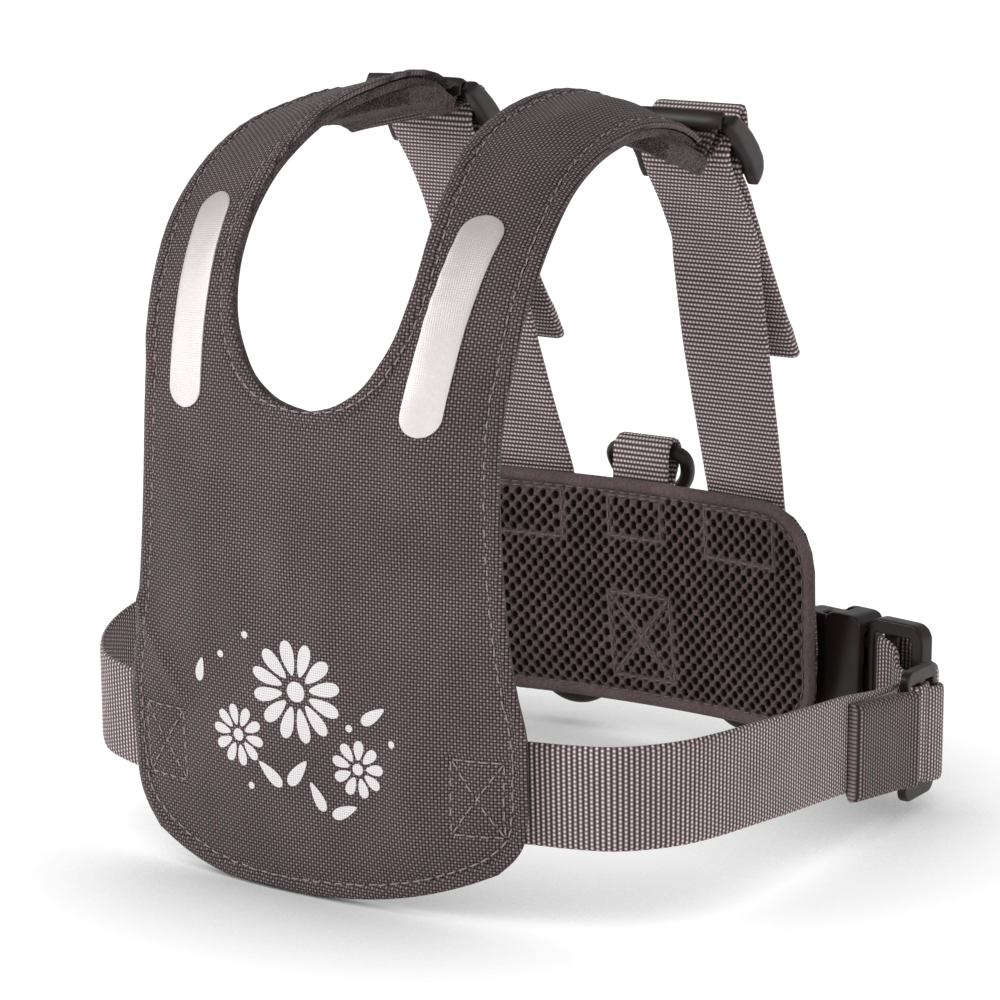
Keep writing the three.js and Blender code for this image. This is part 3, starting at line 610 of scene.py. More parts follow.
# Panel stitching
# Polyester thread, about 3 mm to the stitch, in a row inside the hem and in a crossed box over each sewn
# end of the waist webbing.
thread_radius = 0.21 * mm
stitch_pitch = 3.1 * mm
stitch_length = 2.35 * mm
stitch_stand = 0.24 * mm


def thread_material(name, colour):
    material, tree, surface = new_material(name)
    twist = over_piece(tree, "ShaderNodeTexWave", in_1=2600.0, in_2=3.0, bands_direction="DIAGONAL")
    shade = maths(tree, "MULTIPLY_ADD", twist.outputs["Fac"], 0.5, 0.7)
    base = node(tree, "ShaderNodeRGB")
    base.outputs[0].default_value = (*colour, 1)
    tree.links.new(shaded(tree, base.outputs[0], shade), surface.inputs["Base Color"])
    surface.inputs["Roughness"].default_value = 0.45
    bumped(tree, surface, twist.outputs["Fac"], 0.08 * mm)
    return material


def stitch_row(name, starts, ends, lift, material):
    """Thread stitches, each a short tapered loop of a few faces that is raised in the middle."""
    rings = [(-0.5, 0.35, -0.6), (-0.32, 0.9, 0.35), (0.0, 1.0, 0.75), (0.32, 0.9, 0.35), (0.5, 0.35, -0.6)]
    sides = 6
    points, faces = [], []
    for start, end, up in zip(starts, ends, lift):
        ahead = end - start
        sideways = np.cross(ahead, up)
        sideways /= np.linalg.norm(sideways)
        first = len(points)
        for share, girth, height in rings:
            middle = (start + end) / 2 + share * ahead + up * height * thread_radius
            for k in range(sides):
                angle = 2 * math.pi * k / sides
                arm = math.cos(angle) * sideways + math.sin(angle) * up
                points.append(middle + girth * thread_radius * arm)
        for ring in range(len(rings) - 1):
            for k in range(sides):
                a = first + ring * sides + k
                b = first + ring * sides + (k + 1) % sides
                faces.append((a, b, b + sides, a + sides))
        faces.append(tuple(first + k for k in range(sides))[::-1])
        faces.append(tuple(first + (len(rings) - 1) * sides + k for k in range(sides)))
    mesh = bpy.data.meshes.new(name)
    mesh.from_pydata([tuple(p) for p in points], [], faces)
    row = new_piece(name, mesh)
    edit_all(row)
    bpy.ops.mesh.normals_make_consistent(inside=False)
    bpy.ops.object.mode_set(mode="OBJECT")
    mesh.materials.append(material)
    smoothed(row, 80)
    return row


def stitch_ends(paths, pitch, length):
    """The flat start and end of every stitch on paths that are closed or open."""
    starts, ends = [], []
    for path, closed in paths:
        path = np.vstack([path, path[:1]]) if closed else path
        run = lengths_along(path)
        count = max(int(run[-1] / pitch), 1)
        first = (np.arange(count) + 0.5) * run[-1] / count - length / 2
        for spots, reached in ((starts, first), (ends, first + length)):
            spots.append(np.stack([np.interp(reached, run, path[:, i]) for i in (0, 1)], axis=-1))
    return np.vstack(starts), np.vstack(ends)


pale_thread = thread_material("pale_thread", (0.4, 0.32, 0.33))
paths = [(outline(hem_width), True)]
for side in (1, -1):
    for start, end in box_lines(box_corners):
        paths.append((np.array([start, end]) * (side, 1), False))
flat_start, flat_end = stitch_ends(paths, stitch_pitch, stitch_length)
above = -panel_relief((flat_start + flat_end) / 2) - stitch_stand
first = on_panel(flat_start[:, 0], flat_start[:, 1], above)
last = on_panel(flat_end[:, 0], flat_end[:, 1], above)
up = on_panel(flat_start[:, 0], flat_start[:, 1], above - mm) - first
up /= np.linalg.norm(up, axis=1)[:, None]
panel_thread = stitch_row("panel_stitching", first, last, up, pale_thread)
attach(panel_thread, "harness")

# Lining
# Brushed spacer mesh under the panel and straps, which shows at both strap ends.
lining_thick = 2.2 * mm
lining_depth = shell_thick + seat


def knitted_cloth(name, dark, light, fleck):
    material, tree, surface = new_material(name)
    loops = over_piece(tree, "ShaderNodeTexVoronoi", in_2=2100.0)
    bright = maths(tree, "MULTIPLY", mottled(tree, 160.0, fleck, 1.1), loops.outputs["Distance"])
    tree.links.new(ramp(tree, bright, [(0.1, dark), (0.75, light)]), surface.inputs["Base Color"])
    sheen(surface, 0.9, 0.1, 0.08)
    bumped(tree, surface, bright, 0.3 * mm)
    return material


lining_cloth = knitted_cloth("brushed_mesh_cloth", (0.003, 0.0015, 0.0017), (0.115, 0.086, 0.09), 1300.0)
lining = panel_layer("panel_lining", 1.2 * mm, lining_depth, lining_thick, False)
lining.data.materials.append(lining_cloth)
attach(lining, "harness")
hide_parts("chest_lining")

# Under each strap's end the lining is turned over the sewn part of the lock's tab
shoulder_middle = 37.5 * mm
cuff_half = 15 * mm
cuff_length = 25 * mm
cuff_past = 0.4 * mm
cuff_thick = 4.4 * mm
for name, side in (("right", 1), ("left", -1)):
    run = np.linspace(panel_run - cuff_length, panel_run + cuff_past, 20)
    across = np.linspace(-1, 1, 13)
    x = np.repeat(side * shoulder_middle + cuff_half * across[None, :], len(run), axis=0)
    along = np.repeat(run[:, None], len(across), axis=1)
    lumps = [noise.noise(Vector((a * 300, b * 300, side))) for a, b in zip(x.ravel(), along.ravel())]
    swell = 0.25 * mm * np.array(lumps).reshape(x.shape)
    place = on_panel(x, along, lining_depth + lining_thick + 0.02 * mm + swell, side)
    flat = np.stack([x, along], axis=-1)
    cuff = grid_sheet(f"strap_cuff_{name}", len(across) - 1, len(run) - 1, place, flat)
    turn_toward(cuff, Vector((0, 0, 1)))
    rounded_sheet(cuff, cuff_thick, 1.1 * mm, 4)
    cuff.data.materials.append(lining_cloth)
    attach(cuff, "harness")

# Reflective strips
# Two capsules of silver-white reflective film, heat-bonded to the straps.
strip_width = 10 * mm
strip_length = 54 * mm
strip_top = 167.5 * mm
strip_rows = 30
film_thick = 0.4 * mm
front = Vector((0, -1, 0))
film, film_tree, film_surface = new_material("reflective_film")
film_uv = node(film_tree, "ShaderNodeUVMap")
film_uneven = mottled(film_tree, 60.0, 900.0, 0.14)
film_axes = node(film_tree, "ShaderNodeSeparateXYZ")
film_tree.links.new(film_uv.outputs[0], film_axes.inputs[0])
# The film's colour darkens from the strip's foot to its top: painted shade
film_painted_shade_rise = maths(film_tree, "MULTIPLY_ADD", film_axes.outputs[1], 1 / 54, -2.1)
film_colour_with_painted_shade = ramp(film_tree, film_painted_shade_rise, [(0.2, (0.65, 0.61, 0.617)), (1.0, (0.41, 0.366, 0.374))])
film_tree.links.new(shaded(film_tree, film_colour_with_painted_shade, film_uneven), film_surface.inputs["Base Color"])
film_surface.inputs["Roughness"].default_value = 0.42
film_surface.inputs["Metallic"].default_value = 0.15
beads = group_node(film_tree, weave, Map=film_uv.outputs[0], Across=0.56, Along=0.6)
bumped(film_tree, film_surface, beads.outputs["Height"], 0.06 * mm, 0.6)

for name, side, lean in (("right", 1, 7.2 * mm), ("left", -1, 1.6 * mm)):
    radius = strip_width / 2
    end_along = strip_top - radius
    start_along = end_along - (strip_length - strip_width)
    angles = np.radians(np.linspace(4, 90, 9))
    rows_along = np.concatenate([
        start_along - radius * np.cos(angles),
        np.linspace(start_along, end_along, strip_rows + 2)[1:-1],
        end_along + radius * np.cos(angles[::-1]),
    ])
    half_width = radius * np.concatenate([np.sin(angles), np.ones(strip_rows), np.sin(angles[::-1])])
    middle = shoulder_middle - lean * (end_along - rows_along) / strip_length
    shares = np.linspace(-1, 1, 11)
    x = side * (middle[:, None] + half_width[:, None] * shares[None, :])
    along = np.repeat(rows_along[:, None], len(shares), axis=1)
    flat = np.stack([x, along], axis=-1)
    out = panel_relief(flat.reshape(-1, 2)).reshape(x.shape)
    crown = 0.12 * mm * (1 - shares[None, :] ** 4)
    place = on_panel(x, along, -out - 0.42 * mm - crown)
    if side < 0:
        place, flat = place[:, ::-1], flat[:, ::-1]
    strip = grid_sheet(f"reflective_film_{name}", len(shares) - 1, len(rows_along) - 1, place, flat)
    turn_toward(strip, front)
    rounded_sheet(strip, film_thick, 0.3 * film_thick)
    strip.data.materials.append(film)
    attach(strip, "harness")
    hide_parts(f"reflective_strip_{name}")

# Printed flowers
# White ink on the lower half of the panel: plain daisies with leaves, thin enough to keep the weave.
ink, ink_tree, ink_surface = new_material("white_ink")
ink_uv = node(ink_tree, "ShaderNodeUVMap")
ink_threads = group_node(ink_tree, weave, Map=ink_uv.outputs[0], Across=0.56, Along=0.6)
# The ink is darker in the weave's gaps and lighter on the raised threads: painted shade and highlight at
# thread scale
ink_colour_with_painted_shade = ramp(
    ink_tree, ink_threads.outputs["Height"], [(0.0, (0.4, 0.37, 0.38)), (0.55, (0.74, 0.71, 0.72))]
)
ink_tree.links.new(ink_colour_with_painted_shade, ink_surface.inputs["Base Color"])
ink_surface.inputs["Roughness"].default_value = 0.6
bumped(ink_tree, ink_surface, ink_threads.outputs["Height"], 0.1 * mm, 0.6)


def oval(middle, reach, half, turn, steps=22, tip=0.0):
    """A filled shape in the flat cut: a fan of rings round a middle point, narrower at its foot by tip."""
    angle = np.linspace(0, 2 * math.pi, steps, endpoint=False)
    rings = np.array([0.0, 0.5, 1.0])
    forward = rings[:, None] * np.cos(angle) * reach
    sideways = rings[:, None] * np.sin(angle) * half * (1 + tip * np.cos(angle))
    x = middle[0] + forward * math.cos(turn) - sideways * math.sin(turn)
    along = middle[1] + forward * math.sin(turn) + sideways * math.cos(turn)
    return np.stack([x, along], axis=-1)


shapes = []
daisies = [(-2, 50, 12.5, 12, 0.2), (-20, 36.5, 7.6, 10, 0.5), (14.5, 33.5, 7, 9, 0.1)]
for x, along, reach, petals, turn in daisies:
    for k in range(petals):
        angle = turn + 2 * math.pi * k / petals
        far = 0.66 * reach
        petal = (x + far * math.cos(angle), along + far * math.sin(angle))
        width = 0.78 * math.pi * far / petals
        shapes.append(oval(petal, 0.34 * reach, width, angle, tip=0.35))
    shapes.append(oval((x, along), 0.2 * reach, 0.2 * reach, 0))
leaves = [
    (-10.5, 28.5, 4.2, 2.5), (-2.5, 30, 4.2, 0.9), (-31, 51, 3.4, 1.2), (19, 47, 3.8, 0.6), (3, 25, 3.8, 2.1),
    (10.5, 22.5, 3.8, 0.45),
]
for x, along, reach, turn in leaves:
    shapes.append(oval((x, along), reach, 0.36 * reach, turn, tip=-0.45))
for x, along in ((-24, 56), (-16, 62), (12.5, 43.2), (-16.5, 24.5), (24, 41)):
    shapes.append(oval((x, along), 0.9, 0.9, 0, 12))
points, faces, cuts = [], [], []
for shape in shapes:
    first = len(points)
    flat = np.vstack([shape[0][:1], shape[1], shape[2]]) * mm
    out = panel_relief(flat)
    points += [tuple(p) for p in on_panel(flat[:, 0], flat[:, 1], -out - 0.07 * mm)]
    cuts += [tuple(p / mm) for p in flat]
    steps = shape.shape[1]
    for k in range(steps):
        a, b = first + 1 + k, first + 1 + (k + 1) % steps
        faces.append((first, a, b))
        faces.append((a, a + steps, b + steps, b))
ink_mesh = bpy.data.meshes.new("printed_flowers")
ink_mesh.from_pydata(points, [], faces)
ink_map = ink_mesh.uv_layers.new(name="UVMap")
for loop in ink_mesh.loops:
    ink_map.data[loop.index].uv = cuts[loop.vertex_index]
flowers = new_piece("printed_flowers", ink_mesh)
turn_toward(flowers, front)
thickened(flowers, 0.06 * mm)
apply_modifiers(flowers)
smoothed(flowers)
ink_mesh.materials.append(ink)
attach(flowers, "harness")

# Webbings
# Ribbed polyester webbing, 25 mm wide, and narrower tape for the rings. Each strip is laid again over its
# solid, with its ribs across it and with beads of yarn along every rib.
rib_pitch = 1.27 * mm
bead_pitch = 1.02


def middle_of(line):
    return (line.verts[0].co + line.verts[1].co) / 2


def stations_of(name, width):
    """The solid strip's cross lines in order: its left and right edges and its thickness at each."""
    solid = bmesh.new()
    solid.from_mesh(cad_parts[name].data)
    bmesh.ops.remove_doubles(solid, verts=solid.verts, dist=0.004 * mm)
    lines = [e for e in solid.edges if abs(e.calc_length() - width) < 0.008 * mm]
    owner = {}
    for line in lines:
        for vertex in line.verts:
            owner[vertex] = line
    beside = {line: set() for line in lines}
    for line in lines:
        for vertex in line.verts:
            for spoke in vertex.link_edges:
                other = owner.get(spoke.other_vert(vertex))
                if other is not None and other is not line:
                    beside[line].add(other)
    end = min(lines, key=lambda line: len(beside[line]))
    mate = min(beside[end], key=lambda line: (len(beside[line]), (middle_of(line) - middle_of(end)).length))
    layers, seen = [[end, mate]], {end, mate}
    while True:
        following = []
        for line in layers[-1]:
            for other in beside[line]:
                if other not in seen:
                    seen.add(other)
                    following.append(other)
        if not following:
            break
        layers.append(following)
    stations = []
    across = None
    for layer in layers:
        if len(layer) != 2:
            continue
        pairs = []
        for line in layer:
            a, b = (v.co.copy() for v in line.verts)
            if across is None:
                across = b - a
            if (b - a).dot(across) < 0:
                a, b = b, a
            pairs.append((a, b))
        left = (pairs[0][0] + pairs[1][0]) / 2
        right = (pairs[0][1] + pairs[1][1]) / 2
        across = right - left
        stations.append([*left, *right, (pairs[0][0] - pairs[1][0]).length])
    solid.free()
    return np.array(stations)


def webbing_strip(name, given, width, material):
    fine = smooth_curve(given, 8)
    run = lengths_along((fine[:, :3] + fine[:, 3:6]) / 2)
    ribs = int(run[-1] / rib_pitch)
    samples = np.linspace(0, run[-1], 4 * ribs + 1)
    laid = np.stack([np.interp(samples, run, fine[:, i]) for i in range(7)], axis=1)
    left, right, thick = laid[:, :3], laid[:, 3:6], laid[:, 6]
    middle = (left + right) / 2
    across = right - left
    across /= np.linalg.norm(across, axis=1)[:, None]
    ahead = np.gradient(middle, samples, axis=0)
    outward = np.cross(across, ahead)
    outward /= np.linalg.norm(outward, axis=1)[:, None]
    rise = 0.5 + 0.5 * np.cos(2 * math.pi * samples / rib_pitch)
    shares = np.array([-0.5, -0.485, -0.44, -0.3, -0.1, 0.1, 0.3, 0.44, 0.485, 0.5])
    lift = np.array([0.3, 0.72, 1, 1, 1, 1, 1, 1, 0.72, 0.3])
    half = thick / 2 - 0.11 * mm * (1 - rise)
    reach = width - 0.24 * mm * (1 - rise)
    loop_share = np.concatenate([shares, shares[::-1], shares[:1]])
    loop_lift = np.concatenate([lift, -lift[::-1], lift[:1]])
    place = (
        middle[:, None, :]
        + across[:, None, :] * (reach[:, None] * loop_share[None, :])[..., None]
        + outward[:, None, :] * (half[:, None] * loop_lift[None, :])[..., None]
    )
    flat = np.stack([
        np.repeat((loop_share * width)[None, :], len(samples), axis=0),
        np.repeat(samples[:, None], len(loop_share), axis=1),
    ], axis=-1)
    strip = grid_sheet(name, len(loop_share) - 1, len(samples) - 1, place, flat)
    edit_all(strip)
    bpy.ops.mesh.remove_doubles(threshold=0.004 * mm)
    bpy.ops.mesh.select_all(action="DESELECT")
    bpy.ops.mesh.select_non_manifold()
    bpy.ops.mesh.fill_holes(sides=0)
    bpy.ops.mesh.select_all(action="SELECT")
    bpy.ops.mesh.normals_make_consistent(inside=False)
    bpy.ops.object.mode_set(mode="OBJECT")
    smoothed(strip, 70)
    strip.data.materials.append(material)
    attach(strip, "harness")
    return strip


def laid_webbing(name, node_name, width, material):
    strip = webbing_strip(name, stations_of(node_name, width), width, material)
    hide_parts(node_name)


def webbing_material(name, dark, mid, light):
    material, tree, surface = new_material(name)
    lay = node(tree, "ShaderNodeUVMap")
    axes = node(tree, "ShaderNodeSeparateXYZ")
    tree.links.new(lay.outputs[0], axes.inputs[0])
    rib = maths(tree, "MULTIPLY", axes.outputs[1], 2 * math.pi / (rib_pitch / mm))
    crest = maths(tree, "MULTIPLY_ADD", maths(tree, "COSINE", rib), 0.5, 0.5)
    rib_number = maths(tree, "FLOOR", maths(tree, "MULTIPLY_ADD", rib, 0.5 / math.pi, 0.5))
    shift = maths(tree, "MULTIPLY", rib_number, math.pi)
    bead = maths(tree, "ADD", maths(tree, "MULTIPLY", axes.outputs[0], 2 * math.pi / bead_pitch), shift)
    round_bead = maths(tree, "MULTIPLY_ADD", maths(tree, "COSINE", bead), 0.5, 0.5)
    # Colour by rib and bead height: darker between ribs and beads, lighter on their crests; painted shade and
    # highlight at thread scale
    height = maths(tree, "MULTIPLY", crest, maths(tree, "MULTIPLY_ADD", round_bead, 0.62, 0.38))
    uneven = mottled(tree, 70.0, 1500.0, 0.4)
    colour = ramp(tree, height, [(0.05, dark), (0.42, mid), (0.88, light)])
    tree.links.new(shaded(tree, colour, uneven), surface.inputs["Base Color"])
    sheen(surface, 0.6, 0.2, 0.03)
    bumped(tree, surface, height, 0.3 * mm, 0.8)
    return material


ribbed = webbing_material("ribbed_webbing", (0.042, 0.026, 0.029), (0.22, 0.168, 0.176), (0.74, 0.63, 0.645))
# A darker copy of the ribbed webbing for the lock tabs: painted shade on the tabs under the locks
painted_shade_ribbed = webbing_material(
    "dark_ribbed_webbing", (0.012, 0.007, 0.008), (0.06, 0.043, 0.046), (0.2, 0.16, 0.166)
)
webbing_width = 25 * mm
tape_width = 17 * mm
for name in ("right", "left"):
    laid_webbing(f"waist_strap_{name}", f"waist_webbing_{name}", webbing_width, ribbed)
    laid_webbing(f"rear_strap_{name}", f"rear_webbing_{name}", webbing_width, ribbed)
    laid_webbing(f"lock_tab_{name}", f"strap_tab_{name}", webbing_width, painted_shade_ribbed)
    laid_webbing(f"low_tape_{name}", f"low_ring_tape_{name}", tape_width, ribbed)
laid_webbing("top_tape", "top_ring_tape", tape_width, ribbed)
laid_webbing("back_strap", "back_webbing", webbing_width, ribbed)

# The waist webbing's end is folded over itself into a stop in front of the slide, and its last turn wraps
# the slide's rear bar. A route gives x, y and thickness in millimetres.
# The stop is the waist webbing itself, in a darker copy of its colours: painted shade
painted_shade_stop_ribbed = webbing_material("painted_shade_stop_webbing", (0.018, 0.01, 0.011), (0.1, 0.074, 0.078), (0.34, 0.27, 0.28))
stop_route = [
    (91.1, 16.5, 1.4), (91.2, 16.9, 3.2), (91.3, 18, 4.3), (91.4, 24, 4.6), (91.6, 32, 4.5), (91.9, 40, 4.2),
    (92.9, 44.2, 3.2), (93.7, 46.6, 2.6), (93.8, 47.6, 1.2),
]
turn_route = [
    (92.4, 54.6, 1.5), (92.9, 57, 1.6), (93.2, 59.5, 1.6), (93.1, 61.9, 1.6), (92.2, 63.8, 1.6),
    (90.7, 64.7, 1.6), (89.3, 64.9, 1.5),
]
tail_level = -156.6
tail_start = 25
tail_fall = 0.113
fold_half = webbing_width / mm / 2
folds = (("tail_stop", stop_route, painted_shade_stop_ribbed), ("slide_turn", turn_route, ribbed))
for name, side in (("right", 1), ("left", -1)):
    for label, route, material in folds:
        given = []
        for x, y, thick in route:
            level = tail_level - tail_fall * (y - tail_start)
            low = (side * x, y, level - fold_half)
            high = (side * x, y, level + fold_half)
            given.append((*low, *high, thick))
        webbing_strip(f"{label}_{name}", np.array(given) * mm, webbing_width, material)

# Back pad
# Spacer mesh with round holes over thin foam, hemmed all round and quilted down by the stitching that
# holds the webbings behind it.
pad_half = 57 * mm
pad_top = -107 * mm
pad_height = 64 * mm
pad_corner = 17 * mm
pad_back = 65 * mm
pad_lean = 9 * mm
pad_wrap = 7.2 * mm
pad_thick = 3.8 * mm
pad_hem = 1.8 * mm
hole_pitch = 3.55 * mm
pad_taper = 1.5 * mm
pad_puff = 0.6 * mm
quilt_pull = 0.8 * mm
pad_edge_roll = 1.0 * mm
hole_depth = 1.25 * mm


def pad_half_at(z):
    """Half the pad's width at a height: rounded corners, and a little narrower at the hem."""
    down = pad_top - z
    top_cut, low_cut = (
        pad_corner - np.sqrt(np.maximum(pad_corner**2 - np.clip(pad_corner - far, 0, pad_corner) ** 2, 0))
        for far in (down, pad_height - down)
    )
    return pad_half - top_cut - low_cut - pad_taper * eased(down, 0.3 * pad_height, 0.75 * pad_height)


def pad_face(x, z):
    down = np.maximum((pad_top - z) / pad_height, 0)
    return pad_back + pad_lean * down**1.4 - pad_wrap * (x / pad_half) ** 2


# The boxes of stitching, in millimetres; the first one is crossed and the rest are plain
pad_boxes = [
    (-9.5, 9.5, -139, -163, 6), (-8, 8, -111.5, -123, 4), (22, 44, -111.5, -125, 4),
    (-22, -44, -111.5, -125, 4),
]
pad_lines = []
for left, right, top, low, count in pad_boxes:
    corners = np.array([(left, top), (right, top), (right, low), (left, low)]) * mm
    pad_lines += box_lines(corners)[:count]


def pad_edge_gap(x, z):
    inside = np.stack([pad_half_at(z) - np.abs(x), pad_top - z, z - pad_top + pad_height])
    cx = np.abs(x) - (pad_half - pad_corner)
    top = pad_corner - np.hypot(np.maximum(cx, 0), np.maximum(z - pad_top + pad_corner, 0))
    low = pad_corner - np.hypot(np.maximum(cx, 0), np.maximum(pad_top - pad_height + pad_corner - z, 0))
    return np.minimum(inside.min(axis=0), np.minimum(top, low))


def hole_mask(x, z):
    """1 in the middle of a hole, 0 on the net between: holes in a staggered net, taller than wide."""
    row_step = 0.56 * hole_pitch
    column_step = 1.02 * hole_pitch
    best = np.full(x.shape, 9.0)
    base = np.rint(z / row_step)
    for shift in (-1, 0, 1):
        row = base + shift
        offset = np.where(row % 2 == 0, 0, 0.5) * column_step
        near = np.rint((x - offset) / column_step) * column_step + offset
        far = np.hypot((x - near) / 0.9, (z - row * row_step) / 1.25)
        best = np.minimum(best, far)
    return 1 - eased(best, 0.72 * mm, 1.1 * mm)


pad_columns = 236
pad_rows = 134
turns = np.linspace(-1, 1, pad_columns + 1)
downs = 0.5 - 0.5 * np.cos(np.linspace(0.06, math.pi - 0.06, pad_rows + 1))
heights = pad_top - pad_height * (0.35 * downs + 0.65 * np.linspace(0, 1, pad_rows + 1))
z_grid = np.repeat(heights[:, None], pad_columns + 1, axis=1)
x_grid = turns[None, :] * np.maximum(pad_half_at(heights), 30 * mm)[:, None]
hem_gap = pad_edge_gap(x_grid, z_grid)
flat_pad = np.stack([x_grid, z_grid], axis=-1)
line_gap = np.full(x_grid.size, 1.0)
for start, end in pad_lines:
    line_gap = np.minimum(line_gap, gap_to_line(flat_pad.reshape(-1, 2), start, end))
line_gap = line_gap.reshape(x_grid.shape)
hem_line = 3.6 * mm
quiet = eased(hem_gap, hem_line - 0.6 * mm, hem_line + 1.6 * mm) * eased(line_gap, 0.3 * mm, 1.3 * mm)
holes = hole_mask(x_grid, z_grid) * quiet


def pad_stand(x, z, hem, line):
    """How far the mesh face stands out: soft foam, pulled in by the quilting lines and by the hem."""
    puff = np.array([noise.noise(Vector((a / 0.02, b / 0.016, 3.1))) for a, b in zip(x.ravel(), z.ravel())])
    stand = pad_puff * puff.reshape(x.shape) * eased(hem, 3 * mm, 12 * mm)
    stand -= quilt_pull * np.exp(-((line / (1.2 * mm)) ** 2))
    stand -= quilt_pull * np.exp(-(((hem - hem_line) / (0.9 * mm)) ** 2))
    stand -= pad_edge_roll * (1 - eased(hem, 0, 1.2 * mm))
    return stand


stand = pad_stand(x_grid, z_grid, hem_gap, line_gap) - hole_depth * holes
face = pad_face(x_grid, z_grid) - stand
back = pad_face(x_grid, z_grid) + pad_hem + (pad_thick - pad_hem) * eased(hem_gap, 0, 0.5 * pad_corner)
front_place = np.stack([x_grid, face, z_grid], axis=-1)[::-1]
back_place = np.stack([x_grid, back, z_grid], axis=-1)[::-1, ::-1]
pad_front = grid_sheet("pad_mesh_face", pad_columns, pad_rows, front_place, flat_pad[::-1])
hole_layer = pad_front.data.attributes.new("hole", "FLOAT", "POINT")
hole_layer.data.foreach_set("value", holes[::-1].reshape(-1).astype(np.float32))
pad_rear = grid_sheet("pad_rear_face", pad_columns, pad_rows, back_place, flat_pad[::-1, ::-1])
pad = joined("back_pad_mesh", [pad_front, pad_rear])
edit_all(pad)
bpy.ops.mesh.select_all(action="DESELECT")
bpy.ops.mesh.select_non_manifold()
bpy.ops.mesh.bridge_edge_loops()
bpy.ops.mesh.select_all(action="SELECT")
bpy.ops.mesh.normals_make_consistent(inside=False)
bpy.ops.object.mode_set(mode="OBJECT")
smoothed(pad, 80)

net, net_tree, net_surface = new_material("holed_spacer_mesh")
net_hole = node(net_tree, "ShaderNodeAttribute", attribute_name="hole")
net_uneven = mottled(net_tree, 90.0, 1900.0, 0.8)
net_loops = over_piece(net_tree, "ShaderNodeTexVoronoi", in_2=1500.0)
net_shade = maths(net_tree, "MULTIPLY_ADD", net_loops.outputs["Distance"], 0.5, 0.75)
# The colour runs to near-black in the holes: painted shade in them
net_colour_with_painted_shade = ramp(
    net_tree, net_hole.outputs["Fac"],
    [(0.0, (0.1, 0.07, 0.074)), (0.3, (0.055, 0.037, 0.04)), (0.7, (0.009, 0.0035, 0.004))],
)
net_tree.links.new(
    shaded(net_tree, net_colour_with_painted_shade, maths(net_tree, "MULTIPLY", net_shade, net_uneven)),
    net_surface.inputs["Base Color"],
)
sheen(net_surface, 0.8, 0.1, 0.04)
bumped(net_tree, net_surface, net_loops.outputs["Distance"], 0.18 * mm, 0.7)
pad.data.materials.append(net)
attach(pad, "harness")
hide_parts("back_pad")

pad_edge = []
for z in np.linspace(pad_top - hem_line, pad_top - pad_height + hem_line, 90):
    gap = max(pad_corner - (pad_top - z), pad_corner - (z - pad_top + pad_height), 0)
    bend = pad_corner - math.sqrt(max((pad_corner - hem_line) ** 2 - gap**2, 0))
    taper = pad_taper * float(eased(pad_top - z, 0.3 * pad_height, 0.75 * pad_height))
    pad_edge.append((pad_half - (bend if gap > 0 else hem_line) - taper, z))
hem_path = np.array(pad_edge + [(-x, z) for x, z in pad_edge[::-1]])
pad_paths = [(hem_path, True)] + [(np.array(line), False) for line in pad_lines]
first, last = stitch_ends(pad_paths, 3.2 * mm, 2.3 * mm)
middles = (first + last) / 2
on_hem = pad_edge_gap(middles[:, 0], middles[:, 1])
on_line = np.where(on_hem < hem_line + mm, 9 * mm, 0)
sunk = pad_stand(middles[:, 0], middles[:, 1], on_hem, on_line) + 0.12 * mm
pad_start, pad_end = (
    np.stack([end[:, 0], pad_face(end[:, 0], end[:, 1]) - sunk, end[:, 1]], axis=-1) for end in (first, last)
)
pad_up = np.repeat([[0.0, -1.0, 0.0]], len(first), axis=0)
dark_thread = thread_material("dark_thread", (0.2, 0.15, 0.158))
pad_thread = stitch_row("pad_stitching", pad_start, pad_end, pad_up, dark_thread)
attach(pad_thread, "harness")

# Pad shell
# The pad's plain outer side, in the same woven cloth as the chest panel.


def softened_copy(name, node_name, levels=0):
    copy = new_piece(name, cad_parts[node_name].data.copy())
    edit_all(copy)
    bpy.ops.mesh.remove_doubles(threshold=0.004 * mm)
    bpy.ops.mesh.tris_convert_to_quads()
    bpy.ops.object.mode_set(mode="OBJECT")
    copy.data.materials.clear()
    if levels:
        soft = copy.modifiers.new("soft", "SUBSURF")
        soft.levels = levels
        soft.render_levels = levels
        apply_modifiers(copy)
    return copy


shell = softened_copy("pad_shell_cloth", "back_shell")
rounded_edges(shell, 0.35 * mm, 2, 50)
apply_modifiers(shell)
shell_map = shell.data.uv_layers.new(name="UVMap") if not shell.data.uv_layers else shell.data.uv_layers[0]
for loop in shell.data.loops:
    spot = shell.data.vertices[loop.vertex_index].co
    shell_map.data[loop.index].uv = (spot.x / mm, spot.z / mm)
smoothed(shell)
shell.data.materials.append(panel_cloth)
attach(shell, "harness")
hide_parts("back_shell")

# Buckles, ladder locks and triglides
# Glass-filled nylon mouldings with softly rounded edges and a satin skin.
moulded, moulded_tree, moulded_surface = new_material("moulded_plastic")
moulded_uneven = mottled(moulded_tree, 60.0, 2500.0, 0.3)
moulded_surface.inputs["Specular IOR Level"].default_value = 0.32
tint = node(moulded_tree, "ShaderNodeRGB")
tint.outputs[0].default_value = (0.0165, 0.0088, 0.0096, 1)
moulded_colour = shaded(moulded_tree, tint.outputs[0], moulded_uneven)
moulded_tree.links.new(moulded_colour, moulded_surface.inputs["Base Color"])
rub = over_piece(moulded_tree, "ShaderNodeTexNoise", in_2=180.0)
worn = maths(moulded_tree, "MULTIPLY_ADD", rub.outputs["Fac"], 0.16, 0.3)
moulded_tree.links.new(worn, moulded_surface.inputs["Roughness"])
grain = over_piece(moulded_tree, "ShaderNodeTexNoise", in_2=5200.0)
bumped(moulded_tree, moulded_surface, grain.outputs["Fac"], 0.02 * mm, 0.5)

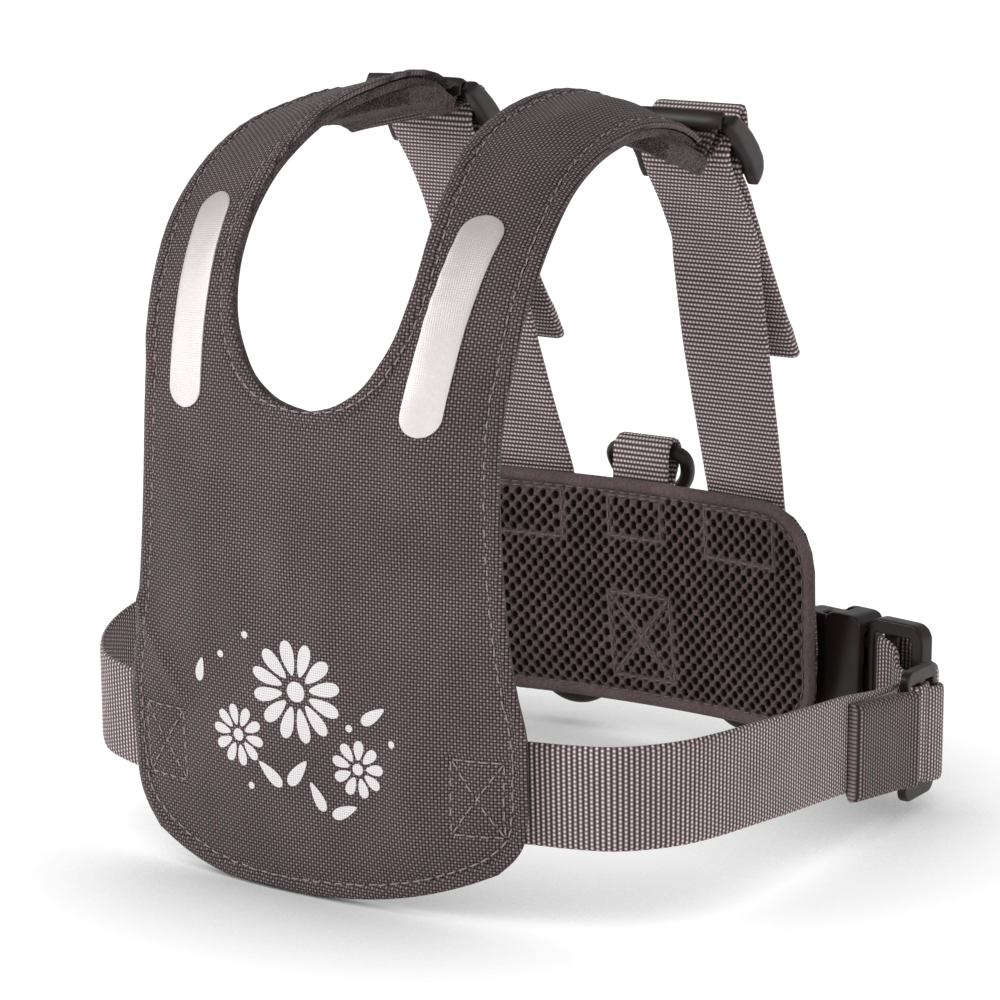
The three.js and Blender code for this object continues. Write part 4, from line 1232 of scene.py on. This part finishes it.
voxel = 0.42 * mm
mouldings = []
for name in ("right", "left"):
    mouldings += [
        (f"buckle_prongs_{name}", f"buckle_male_{name}", 14),
        (f"buckle_socket_{name}", f"buckle_female_{name}", 18),
        (f"strap_lock_{name}", f"ladder_lock_{name}", 34),
        (f"slide_{name}", f"triglide_{name}", 5),
    ]
for name, node_name, passes in mouldings:
    moulding = softened_copy(name, node_name)
    moulding.data.remesh_voxel_size = voxel
    pick(moulding)
    bpy.ops.object.voxel_remesh()
    soft = moulding.modifiers.new("soft", "SMOOTH")
    soft.factor = 0.5
    soft.iterations = passes
    apply_modifiers(moulding)
    smoothed(moulding, 80)
    moulding.data.materials.append(moulded)
    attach(moulding, "harness")
    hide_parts(node_name)

# The lock's smooth front bridge covers the folded tab from cheek to cheek, and bends about a middle that is
# given in the side view
bridge_middle = np.array([21.94, -5.19]) * mm
bridge_radius = 3.8 * mm
bridge_reach = 14.4 * mm
bridge_crown = 0.5 * mm
sweep = np.radians(np.linspace(-8, 52, 12))
across = np.linspace(-1, 1, 9)
for name, side in (("right", 1), ("left", -1)):
    lift = left_lift if side < 0 else 0
    reach = shoulder_middle * side + bridge_reach * across
    bulge = bridge_radius + bridge_crown * (1 - across**2)
    place = np.stack([
        np.repeat(reach[None, :], len(sweep), axis=0),
        bridge_middle[0] - bulge[None, :] * np.cos(sweep)[:, None],
        bridge_middle[1] + lift + bulge[None, :] * np.sin(sweep)[:, None],
    ], axis=-1)
    bridge = grid_sheet(f"lock_bridge_{name}", len(across) - 1, len(sweep) - 1, place, place[..., :2])
    turn_toward(bridge, front)
    rounded_sheet(bridge, 0.9 * mm, 0.45 * mm, 3, offset=1)
    bridge.data.materials.append(moulded)
    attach(bridge, "harness")

# Rings
# D-rings of round nylon rod, loose in their tapes, so each one swings.
hoops = (("top_hoop", "top_ring"), ("low_hoop_right", "low_ring_right"), ("low_hoop_left", "low_ring_left"))
for name, node_name in hoops:
    hoop = softened_copy(name, node_name, 2)
    smoothed(hoop, 80)
    hoop.data.materials.append(moulded)
    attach(hoop, node_name)
    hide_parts(node_name)
